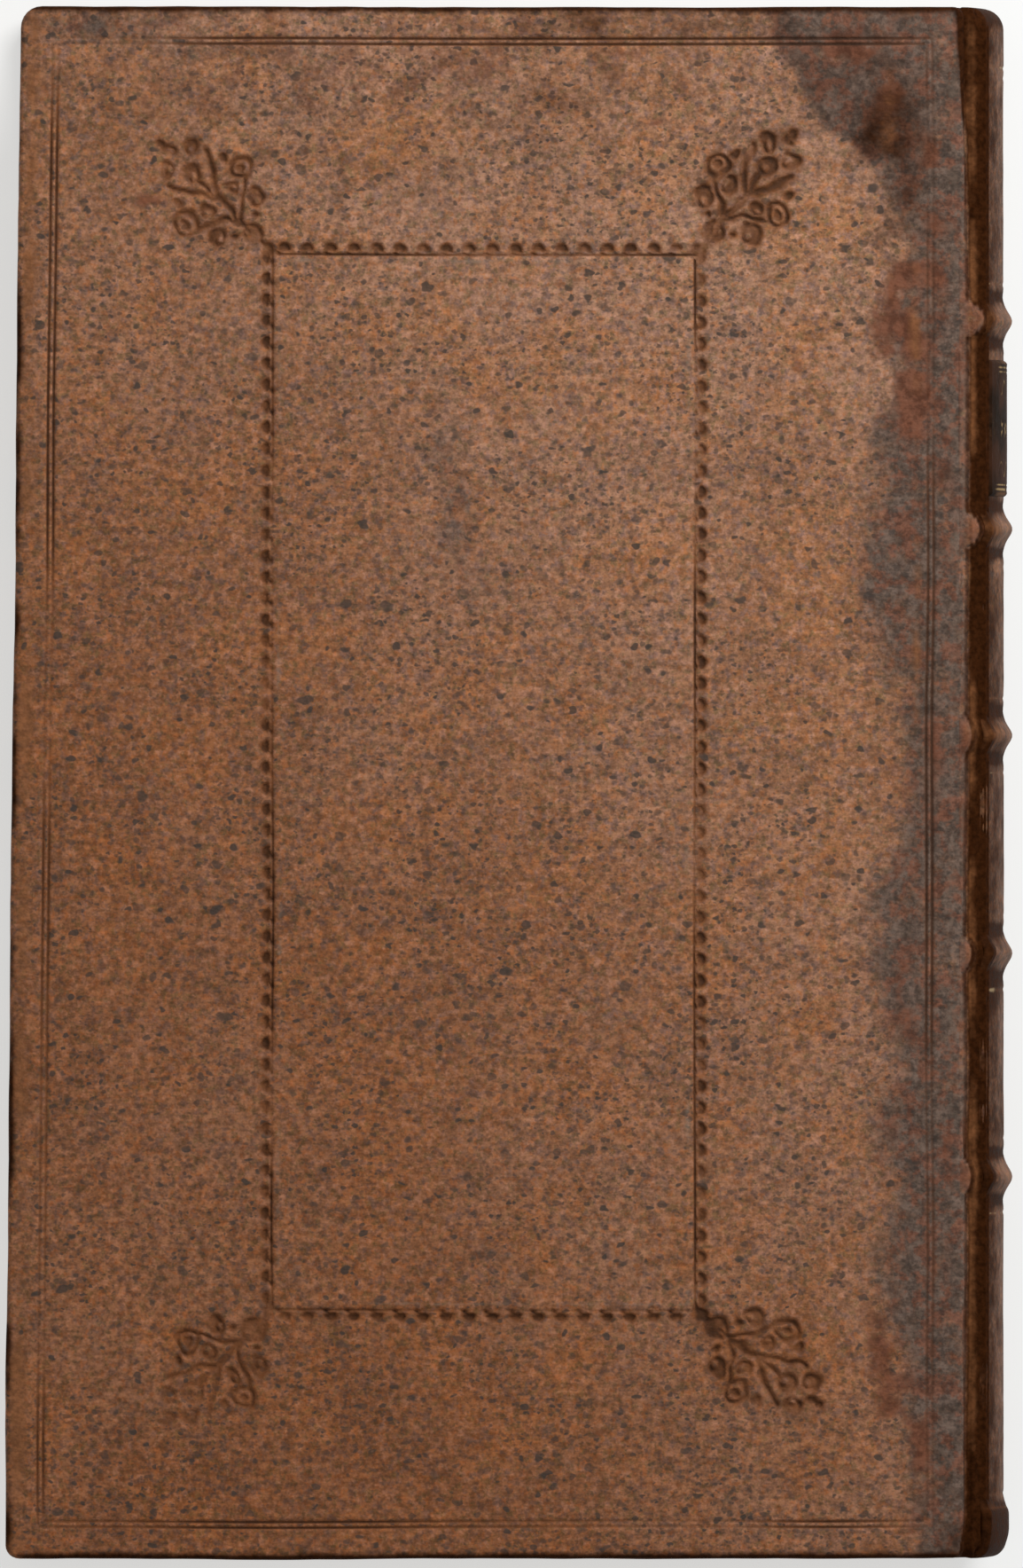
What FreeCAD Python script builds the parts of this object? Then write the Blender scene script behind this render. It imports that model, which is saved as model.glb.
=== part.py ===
import FreeCAD, Part
import os
import Sketcher

# Antique octavo book, bound in calf over pasteboard, sewn on five raised cords.
# Millimetres. +X runs to the spine, +Y to the head and +Z up. The book lies on its front cover,
# with its origin on the surface below the middle of the closed book.

# Driving dimensions: name, value and what it is
SIZES = [
    ("cover_height", "198.0", "head edge to tail edge, over the leather"),
    ("cover_width_head", "120.5", "fore-edge to joint at the head; the boards were cut out of square"),
    ("cover_width_tail", "122.5", "fore-edge to joint at the tail"),
    ("head_corner_radius", "2.8", "worn corner at the head of the fore-edge"),
    ("tail_corner_radius", "1.7", "corner at the tail of the fore-edge"),
    ("joint_corner_radius", "1.4", "corners beside the spine"),
    ("board_thickness", "2.6", "pasteboard"),
    ("board_corner_radius", "0.5", "all four corners of the pasteboard"),
    ("leather_thickness", "0.9", "calf over the boards and the spine"),
    ("edge_round", "0.8", "rounding of the leather over the board edges"),
    ("turn_in_thickness", "0.4", "pared calf inside the board"),
    ("turn_in_width", "12.0", "from the cover's edge"),
    ("turn_in_corner_radius", "0.6", "inner corners of the turn-ins"),
    ("pastedown_thickness", "0.3", "paper pasted inside the cover"),
    ("pastedown_gap", "0.2", "pastedown to turn-ins"),
    ("square", "3.0", "cover beyond the pages at head, tail and fore-edge"),
    ("pages_thickness", "26.2", "text block between the covers"),
    ("fore_edge_hollow", "2.4", "depth of the concave fore-edge"),
    ("cover_clearance", "0.3", "pages to the inside of each cover"),
    ("shoulder_rise", "2.0", "backed shoulder above the flat of the pages"),
    ("shoulder_setback", "0.15", "start of the shoulder beyond the cover's edge"),
    ("spine_depth", "5.25", "spine leather beyond the cover's edge"),
    ("spine_round", "2.9", "rise of the rounded spine from shoulder to middle"),
    ("joint_gap", "0.3", "cover to joint leather"),
    ("joint_drop", "0.2", "fall of the joint leather from the shoulder to the cover"),
    ("joint_trim", "1.0", "joint leather short of the cover's ends"),
    ("glue_gap", "0.05", "between pieces that are glued or bedded"),
    ("cord_diameter", "2.0", "sewing cord"),
    ("cord_seat", "0.9", "depth of each cord's bed in the folds"),
    ("cord_end_angle", "0.5", "degrees, cord short of the shoulders"),
    ("band_1_from_head", "39.9", "middle of the first raised band, from the cover's head"),
    ("band_2_from_head", "66.7", "second band"),
    ("band_3_from_head", "92.9", "third band"),
    ("band_4_from_head", "120.8", "fourth band"),
    ("band_5_from_head", "149.3", "fifth band"),
    ("band_height", "1.1", "raised band above the spine leather"),
    ("band_width", "5.6", "raised band at its base"),
    ("head_cap_radius", "2.6", "rounding of the head cap"),
    ("tail_cap_radius", "1.4", "rounding of the tail cap"),
    ("cap_depth", "3.2", "caps turned in over the endbands"),
    ("cap_end_angle", "1.6", "degrees, caps short of the shoulders"),
    ("endband_diameter", "1.9", "sewn endband"),
    ("endband_inset", "1.75", "middle of the endband inside the spine leather"),
    ("endband_end_angle", "1.5", "degrees, endband short of the shoulders"),
    ("label_from_head", "45.0", "top of the spine label, from the cover's head"),
    ("label_height", "17.4", "along the spine"),
    ("label_thickness", "0.45", "pared goatskin"),
    ("label_end_angle", "2.0", "degrees, label short of the shoulders"),
    ("slip_width", "2.4", "frayed cord end laced into the board"),
    ("slip_thickness", "1.0", "flattened cord end in its channel"),
    ("slip_reach", "9.0", "board edge to lacing hole"),
    ("tool_depth", "0.25", "depth of the blind tooling"),
    ("fillet_width", "0.4", "one line of the fillet"),
    ("border_inset", "4.1", "outer fillet line to the cover's edges"),
    ("border_pitch", "0.85", "between the two fillet lines of the border"),
    ("panel_joint_inset", "34.4", "panel to the joint"),
    ("panel_width", "54.0", "across the cover"),
    ("panel_height", "134.3", "along the cover"),
    ("dentil_gap", "0.55", "panel line to the dentil roll"),
    ("dentil_pitch", "2.84", "between two dentils"),
    ("dentil_width", "1.9", "one dentil, along the panel's side"),
    ("dentil_depth", "1.2", "one dentil, away from the panel"),
    ("fleuron_angle", "45.0", "degrees, axis of each corner tool"),
    ("stem_start", "0.9", "panel's corner to the stem of the corner tool"),
    ("stem_length", "12.0", "stem of the corner tool"),
    ("stem_width", "0.8", "stem of the corner tool"),
    ("flower_distance", "14.7", "top flower, along the tool's axis"),
    ("flower_radius", "1.25", "top flower"),
    ("tip_distance", "18.9", "along the tool's axis"),
    ("tip_radius", "0.7", "tip of the corner tool"),
    ("rosette_distance", "10.6", "along the tool's axis"),
    ("rosette_offset", "5.0", "to each side of the axis"),
    ("rosette_radius", "1.5", "flower to each side of the corner tool"),
    ("bud_distance", "6.7", "along the tool's axis"),
    ("bud_offset", "3.75", "to each side of the axis"),
    ("bud_radius", "1.0", "lower buds of the corner tool"),
    ("petal_distance", "17.2", "along the tool's axis"),
    ("petal_offset", "2.2", "to each side of the axis"),
    ("petal_radius", "0.85", "upper petals of the corner tool"),
]

# Sizes that follow from the driving dimensions: name, formula
DERIVED = [
    ("overall_width", "sizes.cover_width_tail + sizes.spine_depth + sizes.band_height"),
    ("joint_x", "derived.overall_width / 2 - sizes.spine_depth - sizes.band_height"),
    ("fore_head_x", "derived.joint_x - sizes.cover_width_head"),
    ("fore_tail_x", "derived.joint_x - sizes.cover_width_tail"),
    ("inner_face", "sizes.pages_thickness / 2 + sizes.cover_clearance"),
    ("board_inner", "derived.inner_face + sizes.turn_in_thickness"),
    ("board_outer", "derived.board_inner + sizes.board_thickness"),
    ("cover_outer", "derived.board_outer + sizes.leather_thickness"),
    ("middle_z", "derived.cover_outer"),
    ("page_half", "sizes.cover_height / 2 - sizes.square"),
    ("shoulder_half", "sizes.pages_thickness / 2 + sizes.shoulder_rise"),
    ("leather_half", "derived.shoulder_half + sizes.leather_thickness"),
    ("spine_radius", "(derived.leather_half ^ 2 + sizes.spine_round ^ 2) / (2 * sizes.spine_round)"),
    ("spine_inner", "derived.spine_radius - sizes.leather_thickness"),
    ("pages_radius", "derived.spine_inner - sizes.glue_gap"),
    ("spine_x", "derived.joint_x + sizes.spine_depth - derived.spine_radius"),
    ("tip_x", "derived.spine_x + sqrt(derived.pages_radius ^ 2 - derived.shoulder_half ^ 2)"),
    ("cord_circle", "derived.pages_radius + sizes.cord_diameter / 2 - sizes.cord_seat"),
    ("board_edge_x", "derived.joint_x - sizes.leather_thickness"),
    ("panel_x", "derived.joint_x - sizes.panel_joint_inset - sizes.panel_width / 2"),
]

BANDS = range(1, 6)
SIDES = ("front", "back")
LEFT = 1
RIGHT = -1
TOLERANCE = 1e-6

doc = FreeCAD.newDocument("leather_book")


def make_sheet():
    """The spreadsheet of driving dimensions, one row each."""
    sheet = doc.addObject("Spreadsheet::Sheet", "sizes")
    for row, (name, value, meaning) in enumerate(SIZES, start=1):
        sheet.set(f"A{row}", name)
        sheet.set(f"B{row}", value)
        sheet.set(f"C{row}", meaning)
        sheet.setAlias(f"B{row}", name)
    doc.recompute()


def make_derived():
    """Sizes that follow from the sheet, and the angle of the spine from its middle to a shoulder."""
    derived = doc.addObject("App::VarSet", "derived")
    for name, formula in DERIVED:
        derived.addProperty("App::PropertyFloat", name, "Derived")
        derived.setExpression(name, formula)
    derived.addProperty("App::PropertyAngle", "shoulder_angle", "Derived")
    derived.setExpression("shoulder_angle", "asin(derived.shoulder_half / derived.pages_radius)")
    doc.recompute()


def band_y(band):
    """Formula for the height of a raised band on the spine."""
    return f"(sizes.cover_height / 2 - sizes.band_{band}_from_head)"


def slab(side, near, far):
    """Lower and upper level of a layer that lies from near to far outside the middle of the pages."""
    if side == "back":
        return f"(derived.middle_z + {near})", f"(derived.middle_z + {far})"
    return f"(derived.middle_z - {far})", f"(derived.middle_z - {near})"


def make_body(name):
    """A body that is one piece of the book."""
    body = doc.addObject("PartDesign::Body", name)
    body.Label = name
    return body


def make_sketch(body, name, plane_role, offsets):
    """A sketch on one of the body's own origin planes, moved by formulas along the sketch's axes."""
    sketch = body.newObject("Sketcher::SketchObject", f"{body.Name}_{name}")
    plane = next(feature for feature in body.Origin.OriginFeatures if feature.Role == plane_role)
    sketch.AttachmentSupport = (plane, [""])
    sketch.MapMode = "FlatFace"
    for axis, formula in offsets.items():
        sketch.setExpression(f"AttachmentOffset.Base.{axis}", formula)
    return sketch


def number(sketch, formula):
    """The present value of a formula."""
    return float(sketch.evalExpression(formula))


def bind(sketch, constraint, formula):
    """Add a constraint whose value follows a formula."""
    index = sketch.addConstraint(constraint)
    sketch.setExpression(f"Constraints[{index}]", formula)


def place_point(sketch, edge, vertex, x, y):
    """Tie a point of the sketch to the formulas of its coordinates."""
    bind(sketch, Sketcher.Constraint("DistanceX", -1, 1, edge, vertex, number(sketch, x)), x)
    bind(sketch, Sketcher.Constraint("DistanceY", -1, 1, edge, vertex, number(sketch, y)), y)


def arc_through(start, end, radius, side):
    """The shorter arc from start to end that bulges to the left or the right of its chord."""
    chord = end - start
    rise = radius - (radius ** 2 - chord.Length ** 2 / 4) ** 0.5
    outward = FreeCAD.Vector(chord.y, -chord.x, 0).normalize() * -side
    return Part.Arc(start, (start + end) / 2 + outward * rise, end)


def add_path(sketch, corners, arcs=None):
    """Closed outline. Corners are pairs of formulas; arcs gives a radius and a side for some edges."""
    arcs = arcs or {}
    points = [FreeCAD.Vector(number(sketch, x), number(sketch, y), 0) for x, y in corners]
    edges = []
    for index, start in enumerate(points):
        end = points[(index + 1) % len(points)]
        if index in arcs:
            radius, side = arcs[index]
            edge = sketch.addGeometry(arc_through(start, end, number(sketch, radius), side))
            bind(sketch, Sketcher.Constraint("Radius", edge, number(sketch, radius)), radius)
        else:
            edge = sketch.addGeometry(Part.LineSegment(start, end))
        forward = sketch.getPoint(edge, 1).distanceToPoint(start) < TOLERANCE
        edges.append((edge, 1 if forward else 2, 2 if forward else 1))
    for index, (edge, first, _) in enumerate(edges):
        before, _, last = edges[index - 1]
        sketch.addConstraint(Sketcher.Constraint("Coincident", before, last, edge, first))
        place_point(sketch, edge, first, *corners[index])


def add_circle(sketch, x, y, radius):
    """Circle from the formulas of its centre and radius."""
    centre = FreeCAD.Vector(number(sketch, x), number(sketch, y), 0)
    circle = Part.Circle(centre, FreeCAD.Vector(0, 0, 1), number(sketch, radius))
    edge = sketch.addGeometry(circle)
    place_point(sketch, edge, 3, x, y)
    bind(sketch, Sketcher.Constraint("Radius", edge, number(sketch, radius)), radius)


def pad(body, sketch, length, both_ways=False):
    """Extrude a sketch upwards, or by half its length to each side."""
    feature = body.newObject("PartDesign::Pad", f"{sketch.Name}_pad")
    feature.Profile = sketch
    feature.Midplane = both_ways
    feature.setExpression("Length", length)
    doc.recompute()
    return feature


def pocket(body, sketch, depth):
    """Cut a sketch downwards, and make sure that something was cut."""
    before = body.Shape.Volume
    feature = body.newObject("PartDesign::Pocket", f"{sketch.Name}_pocket")
    feature.Profile = sketch
    feature.setExpression("Length", depth)
    doc.recompute()
    if feature.Shape.Volume >= before:
        raise RuntimeError(f"{feature.Name} cuts nothing")
    return feature


def turn(body, sketch, kind, half_angle):
    """Turn a sketch about the spine's axis, by half its angle to each side of the middle."""
    feature = body.newObject(f"PartDesign::{kind}", f"{sketch.Name}_{kind.lower()}")
    feature.Profile = sketch
    feature.ReferenceAxis = (sketch, ["V_Axis"])
    feature.Midplane = True
    feature.setExpression("Angle", f"2 * ({half_angle})")
    doc.recompute()
    return feature


def spine_sketch(body, name):
    """Sketch in the plane halfway up the pages, with its vertical axis on the spine's axis."""
    return make_sketch(body, name, "XY_Plane", {"x": "derived.spine_x", "z": "derived.middle_z"})


def add_cord_circles(sketch, radius):
    """One circle for each sewing cord."""
    for band in BANDS:
        add_circle(sketch, "derived.cord_circle", band_y(band), radius)


def cover_outline(sketch, inset, joint_inset, head_radius, tail_radius, joint_radius):
    """Outline of a cover, drawn in from its edges, with rounded corners and a slanting fore-edge."""
    top = f"(sizes.cover_height / 2 - {inset})"
    right = f"(derived.joint_x - {joint_inset})"
    head_left = f"(derived.fore_head_x + {inset})"
    tail_left = f"(derived.fore_tail_x + {inset})"
    corners = [
        (right, f"{top} - {joint_radius}"),
        (f"{right} - {joint_radius}", top),
        (f"{head_left} + {head_radius}", top),
        (head_left, f"{top} - {head_radius}"),
        (tail_left, f"{tail_radius} - {top}"),
        (f"{tail_left} + {tail_radius}", f"-{top}"),
        (f"{right} - {joint_radius}", f"-{top}"),
        (right, f"{joint_radius} - {top}"),
    ]
    arcs = {
        0: (joint_radius, RIGHT),
        2: (head_radius, RIGHT),
        4: (tail_radius, RIGHT),
        6: (joint_radius, RIGHT),
    }
    add_path(sketch, corners, arcs)


def board_outline(sketch):
    """Outline of the pasteboard, inside its leather."""
    radius = "sizes.board_corner_radius"
    cover_outline(sketch, "sizes.leather_thickness", "sizes.leather_thickness", radius, radius, radius)


def box_path(sketch, left, right, low, high):
    """Rectangle from the formulas of its four sides."""
    add_path(sketch, [(left, low), (right, low), (right, high), (left, high)])


# Text block: pages and flyleaves, rounded and backed


def make_text_block():
    body = make_body("text_block")
    section = make_sketch(body, "section", "XZ_Plane", {})
    page_left = "(derived.fore_head_x + sizes.square)"
    shoulder_x = "(derived.joint_x + sizes.shoulder_setback)"
    half = "sizes.pages_thickness / 2"
    corners = [
        (page_left, f"derived.middle_z - {half}"),
        (shoulder_x, f"derived.middle_z - {half}"),
        ("derived.tip_x", "derived.middle_z - derived.shoulder_half"),
        ("derived.tip_x", "derived.middle_z + derived.shoulder_half"),
        (shoulder_x, f"derived.middle_z + {half}"),
        (page_left, f"derived.middle_z + {half}"),
    ]
    hollow = f"(({half}) ^ 2 + sizes.fore_edge_hollow ^ 2) / (2 * sizes.fore_edge_hollow)"
    add_path(section, corners, {2: ("derived.pages_radius", RIGHT), 5: (hollow, LEFT)})
    pad(body, section, "2 * derived.page_half", both_ways=True)
    beds = spine_sketch(body, "cord_beds")
    add_cord_circles(beds, "sizes.cord_diameter / 2 + sizes.glue_gap")
    turn(body, beds, "Groove", "derived.shoulder_angle")
    return body


def make_cord(band):
    body = make_body(f"sewing_cord_{band}")
    ring = spine_sketch(body, "ring")
    add_circle(ring, "derived.cord_circle", band_y(band), "sizes.cord_diameter / 2")
    turn(body, ring, "Revolution", "derived.shoulder_angle - sizes.cord_end_angle * 1 deg")
    return body


def make_endband(name, sign):
    body = make_body(name)
    ring = spine_sketch(body, "ring")
    away = "(derived.page_half + sizes.endband_diameter / 2 + sizes.glue_gap)"
    radius = "sizes.endband_diameter / 2"
    add_circle(ring, "derived.spine_inner - sizes.endband_inset", f"{sign}{away}", radius)
    turn(body, ring, "Revolution", "derived.shoulder_angle - sizes.endband_end_angle * 1 deg")
    return body


# Covers: pasteboard, laced cord ends, leather with turn-ins, pastedown


def add_slip_slots(sketch, play):
    """Channel of each laced cord end, from the board's edge to its round end at the lacing hole."""
    radius = f"(sizes.slip_width / 2 + {play})"
    hole_x = "(derived.board_edge_x - sizes.slip_reach)"
    for band in BANDS:
        y = band_y(band)
        corners = [
            (hole_x, f"{y} - {radius}"),
            ("derived.board_edge_x", f"{y} - {radius}"),
            ("derived.board_edge_x", f"{y} + {radius}"),
            (hole_x, f"{y} + {radius}"),
            (f"{hole_x} - {radius}", y),
        ]
        add_path(sketch, corners, {3: (radius, RIGHT), 4: (radius, RIGHT)})


def add_slip_holes(sketch, play):
    """Lacing hole of each cord end."""
    hole_x = "derived.board_edge_x - sizes.slip_reach"
    for band in BANDS:
        add_circle(sketch, hole_x, band_y(band), f"sizes.slip_width / 2 + {play}")


def make_board(side):
    body = make_body(f"{side}_board")
    low, high = slab(side, "derived.board_inner", "derived.board_outer")
    outline = make_sketch(body, "outline", "XY_Plane", {"z": low})
    board_outline(outline)
    pad(body, outline, "sizes.board_thickness")
    channel_top = slab(side, "(derived.board_outer - sizes.slip_thickness)", "derived.board_outer")[1]
    channels = make_sketch(body, "channels", "XY_Plane", {"z": channel_top})
    add_slip_slots(channels, "sizes.glue_gap")
    pocket(body, channels, "sizes.slip_thickness")
    holes = make_sketch(body, "holes", "XY_Plane", {"z": high})
    add_slip_holes(holes, "sizes.glue_gap")
    pocket(body, holes, "sizes.board_thickness")
    return body


def make_slips(side):
    body = make_body(f"{side}_slips")
    body.AllowCompound = True
    flat_low = slab(side, "(derived.board_outer - sizes.slip_thickness)", "derived.board_outer")[0]
    flats = make_sketch(body, "flats", "XY_Plane", {"z": flat_low})
    add_slip_slots(flats, "0")
    pad(body, flats, "sizes.slip_thickness")
    stem_low = slab(side, "derived.board_inner", "derived.board_outer")[0]
    stems = make_sketch(body, "stems", "XY_Plane", {"z": stem_low})
    add_slip_holes(stems, "0")
    pad(body, stems, "sizes.board_thickness")
    return body


def make_pastedown(side):
    body = make_body(f"{side}_pastedown")
    low = slab(side, "(derived.board_inner - sizes.pastedown_thickness)", "derived.board_inner")[0]
    outline = make_sketch(body, "outline", "XY_Plane", {"z": low})
    inset = "(sizes.turn_in_width + sizes.pastedown_gap)"
    joint_inset = "(sizes.leather_thickness + sizes.pastedown_gap)"
    radius = "sizes.turn_in_corner_radius"
    cover_outline(outline, inset, joint_inset, radius, radius, radius)
    pad(body, outline, "sizes.pastedown_thickness")
    return body


def outer_edges(shape, level):
    """Names of the edges that lie wholly at one level."""
    names = []
    for index, edge in enumerate(shape.Edges, start=1):
        box = edge.BoundBox
        if abs(box.ZMin - level) < TOLERANCE and abs(box.ZMax - level) < TOLERANCE:
            names.append(f"Edge{index}")
    return names


def round_outer_face(body, side):
    """Round the leather over the edges of the board, all around the outer face."""
    feature = body.newObject("PartDesign::Fillet", f"{body.Name}_rounding")
    base = body.Group[-2]
    low, high = slab(side, "derived.inner_face", "derived.cover_outer")
    level = number(base, high if side == "back" else low)
    feature.Base = (base, outer_edges(base.Shape, level))
    feature.setExpression("Radius", "sizes.edge_round")
    doc.recompute()


def add_border_line(sketch, number_of_line):
    """One line of the two-line fillet around the cover, as a thin frame."""
    for edge in (0, 1):
        inset = f"(sizes.border_inset + {number_of_line} * sizes.border_pitch + {edge} * sizes.fillet_width)"
        corners = [
            (f"derived.joint_x - {inset}", f"{inset} - sizes.cover_height / 2"),
            (f"derived.joint_x - {inset}", f"sizes.cover_height / 2 - {inset}"),
            (f"derived.fore_head_x + {inset}", f"sizes.cover_height / 2 - {inset}"),
            (f"derived.fore_tail_x + {inset}", f"{inset} - sizes.cover_height / 2"),
        ]
        add_path(sketch, corners)


def add_panel_line(sketch):
    """The single line of the inner panel, as a thin frame."""
    for edge in (0, 1):
        half_width = f"(sizes.panel_width / 2 + {edge} * sizes.fillet_width)"
        half_height = f"(sizes.panel_height / 2 + {edge} * sizes.fillet_width)"
        box_path(
            sketch,
            f"derived.panel_x - {half_width}",
            f"derived.panel_x + {half_width}",
            f"-{half_height}",
            half_height,
        )


def fleuron_point(x_sign, y_sign, along, across):
    """Formulas of a point of a corner tool, from its distances along and across the tool's axis."""
    out = f"(({along}) * cos(sizes.fleuron_angle * 1 deg) - ({across}) * sin(sizes.fleuron_angle * 1 deg))"
    up = f"(({along}) * sin(sizes.fleuron_angle * 1 deg) + ({across}) * cos(sizes.fleuron_angle * 1 deg))"
    x = f"derived.panel_x {x_sign} (sizes.panel_width / 2 + {out})"
    y = f"0 {y_sign} (sizes.panel_height / 2 + {up})"
    return x, y


def add_fleuron(sketch, x_sign, y_sign):
    """Corner tool: a stem, a flower and a tip on its axis, and pairs of rosettes, buds and petals."""
    half_width = "sizes.stem_width / 2"
    stem_end = "(sizes.stem_start + sizes.stem_length)"
    stem = [
        fleuron_point(x_sign, y_sign, "sizes.stem_start", f"-({half_width})"),
        fleuron_point(x_sign, y_sign, stem_end, f"-({half_width})"),
        fleuron_point(x_sign, y_sign, stem_end, half_width),
        fleuron_point(x_sign, y_sign, "sizes.stem_start", half_width),
    ]
    add_path(sketch, stem)
    for part in ("flower", "tip"):
        x, y = fleuron_point(x_sign, y_sign, f"sizes.{part}_distance", "0")
        add_circle(sketch, x, y, f"sizes.{part}_radius")
    for part in ("rosette", "bud", "petal"):
        for sign in ("", "-"):
            x, y = fleuron_point(x_sign, y_sign, f"sizes.{part}_distance", f"{sign}sizes.{part}_offset")
            add_circle(sketch, x, y, f"sizes.{part}_radius")


def dentil(x, y, out_x, out_y):
    """Small dentil on a base point, with its point away from the panel."""
    half = "sizes.dentil_width / 2"
    if out_x:
        return [(x, f"{y} - {half}"), (f"{x} {out_x} sizes.dentil_depth", y), (x, f"{y} + {half}")]
    return [(f"{x} - {half}", y), (x, f"{y} {out_y} sizes.dentil_depth"), (f"{x} + {half}", y)]


def cut_dentils(body, level, name, rows, axis_name, length):
    """Two facing rows of dentils, each cut once and repeated along the panel's side."""
    first = make_sketch(body, name, "XY_Plane", {"z": level})
    for corners in rows:
        add_path(first, corners)
    base = pocket(body, first, "sizes.tool_depth")
    row = body.newObject("PartDesign::LinearPattern", f"{body.Name}_{name}_row")
    row.Originals = [base]
    row.Direction = (first, [axis_name])
    row.Mode = "Spacing"
    row.setExpression("Offset", "sizes.dentil_pitch")
    row.setExpression("Occurrences", f"floor({length} / sizes.dentil_pitch)")
    body.Tip = row
    doc.recompute()


def add_dentil_roll(body, level):
    """The roll of dentils around the outside of the panel."""
    half_width = "(sizes.panel_width / 2)"
    half_height = "(sizes.panel_height / 2)"
    away = "(sizes.fillet_width + sizes.dentil_gap)"
    start_x = f"(derived.panel_x - {half_width} + sizes.dentil_pitch / 2)"
    start_y = f"(sizes.dentil_pitch / 2 - {half_height})"
    level_rows = [
        dentil(start_x, f"({half_height} + {away})", "", "+"),
        dentil(start_x, f"(0 - {half_height} - {away})", "", "-"),
    ]
    cut_dentils(body, level, "level_dentils", level_rows, "H_Axis", "sizes.panel_width")
    upright_rows = [
        dentil(f"(derived.panel_x + {half_width} + {away})", start_y, "+", ""),
        dentil(f"(derived.panel_x - {half_width} - {away})", start_y, "-", ""),
    ]
    cut_dentils(body, level, "upright_dentils", upright_rows, "V_Axis", "sizes.panel_height")


def make_leather(side):
    body = make_body(f"{side}_leather")
    low, _ = slab(side, "derived.inner_face", "derived.cover_outer")
    skin = make_sketch(body, "outline", "XY_Plane", {"z": low})
    corner_radii = ("sizes.head_corner_radius", "sizes.tail_corner_radius", "sizes.joint_corner_radius")
    cover_outline(skin, "0", "0", *corner_radii)
    pad(body, skin, "derived.cover_outer - derived.inner_face")
    round_outer_face(body, side)
    board_top = slab(side, "derived.board_inner", "derived.board_outer")[1]
    space = make_sketch(body, "board_space", "XY_Plane", {"z": board_top})
    board_outline(space)
    pocket(body, space, "sizes.board_thickness")
    opening_top = slab(side, "derived.inner_face", "derived.board_inner")[1]
    opening = make_sketch(body, "opening", "XY_Plane", {"z": opening_top})
    radius = "sizes.turn_in_corner_radius"
    cover_outline(opening, "sizes.turn_in_width", "sizes.leather_thickness", radius, radius, radius)
    pocket(body, opening, "sizes.turn_in_thickness")
    tool_top = slab(side, "(derived.cover_outer - sizes.tool_depth)", "derived.cover_outer")[1]
    lines = make_sketch(body, "fillet_lines", "XY_Plane", {"z": tool_top})
    add_border_line(lines, 0)
    add_border_line(lines, 1)
    add_panel_line(lines)
    pocket(body, lines, "sizes.tool_depth")
    corner_tools = make_sketch(body, "fleurons", "XY_Plane", {"z": tool_top})
    for x_sign in "+-":
        for y_sign in "+-":
            add_fleuron(corner_tools, x_sign, y_sign)
    pocket(body, corner_tools, "sizes.tool_depth")
    add_dentil_roll(body, tool_top)
    return body


# Spine: leather with raised bands and caps, joint leather, label


def add_cap(sketch, sign, radius):
    """Section of a cap: the leather rounds the end of the spine and turns in over the endband."""
    outside = "derived.spine_radius"
    inside = "derived.spine_inner"
    lip = f"({inside} - sizes.cap_depth)"
    leather = "sizes.leather_thickness"
    corners = [
        (outside, f"{sign}(sizes.cover_height / 2 - {radius})"),
        (f"{outside} - {radius}", f"{sign}(sizes.cover_height / 2)"),
        (lip, f"{sign}(sizes.cover_height / 2)"),
        (lip, f"{sign}(sizes.cover_height / 2 - {leather})"),
        (f"{outside} - {radius}", f"{sign}(sizes.cover_height / 2 - {leather})"),
        (inside, f"{sign}(sizes.cover_height / 2 - {radius})"),
    ]
    outer, inner = (LEFT, RIGHT) if sign else (RIGHT, LEFT)
    add_path(sketch, corners, {0: (radius, outer), 4: (f"{radius} - {leather}", inner)})


def add_band_sections(sketch):
    """Section of each raised band, rooted in the middle of the leather."""
    half = "sizes.band_width / 2"
    root = "(derived.spine_inner + sizes.leather_thickness / 2)"
    radius = f"(({half}) ^ 2 + sizes.band_height ^ 2) / (2 * sizes.band_height)"
    for band in BANDS:
        low = f"{band_y(band)} - {half}"
        high = f"{band_y(band)} + {half}"
        corners = [
            (root, low),
            ("derived.spine_radius", low),
            ("derived.spine_radius", high),
            (root, high),
        ]
        add_path(sketch, corners, {1: (radius, RIGHT)})


def add_joint_section(sketch, sign):
    """Section of the joint leather, from a shoulder of the spine back to the cover's edge."""
    angle = "derived.shoulder_angle"
    cover_x = "(derived.joint_x + sizes.joint_gap)"
    outer_x = f"(derived.spine_x + derived.spine_radius * cos({angle}))"
    outer_z = f"(derived.spine_radius * sin({angle}))"
    inner_x = f"(derived.spine_x + derived.spine_inner * cos({angle}))"
    inner_z = f"(derived.spine_inner * sin({angle}))"
    corners = [
        (outer_x, f"derived.middle_z {sign} {outer_z}"),
        (cover_x, f"derived.middle_z {sign} ({outer_z} - sizes.joint_drop)"),
        (cover_x, f"derived.middle_z {sign} ({outer_z} - sizes.joint_drop - sizes.leather_thickness)"),
        (inner_x, f"derived.middle_z {sign} {inner_z}"),
    ]
    add_path(sketch, corners)


def add_nub_sections(sketch, sign):
    """Section of each raised band where it runs over the joint leather to the cover."""
    half = "sizes.band_width / 2"
    radius = f"(({half}) ^ 2 + sizes.band_height ^ 2) / (2 * sizes.band_height)"
    top = "(derived.spine_radius * sin(derived.shoulder_angle) - sizes.joint_drop)"
    root = f"derived.middle_z {sign} (derived.shoulder_half + sizes.glue_gap)"
    base = f"derived.middle_z {sign} {top}"
    bulge = LEFT if sign == "+" else RIGHT
    for band in BANDS:
        low = f"{band_y(band)} - {half}"
        high = f"{band_y(band)} + {half}"
        add_path(sketch, [(low, root), (low, base), (high, base), (high, root)], {1: (radius, bulge)})


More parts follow.
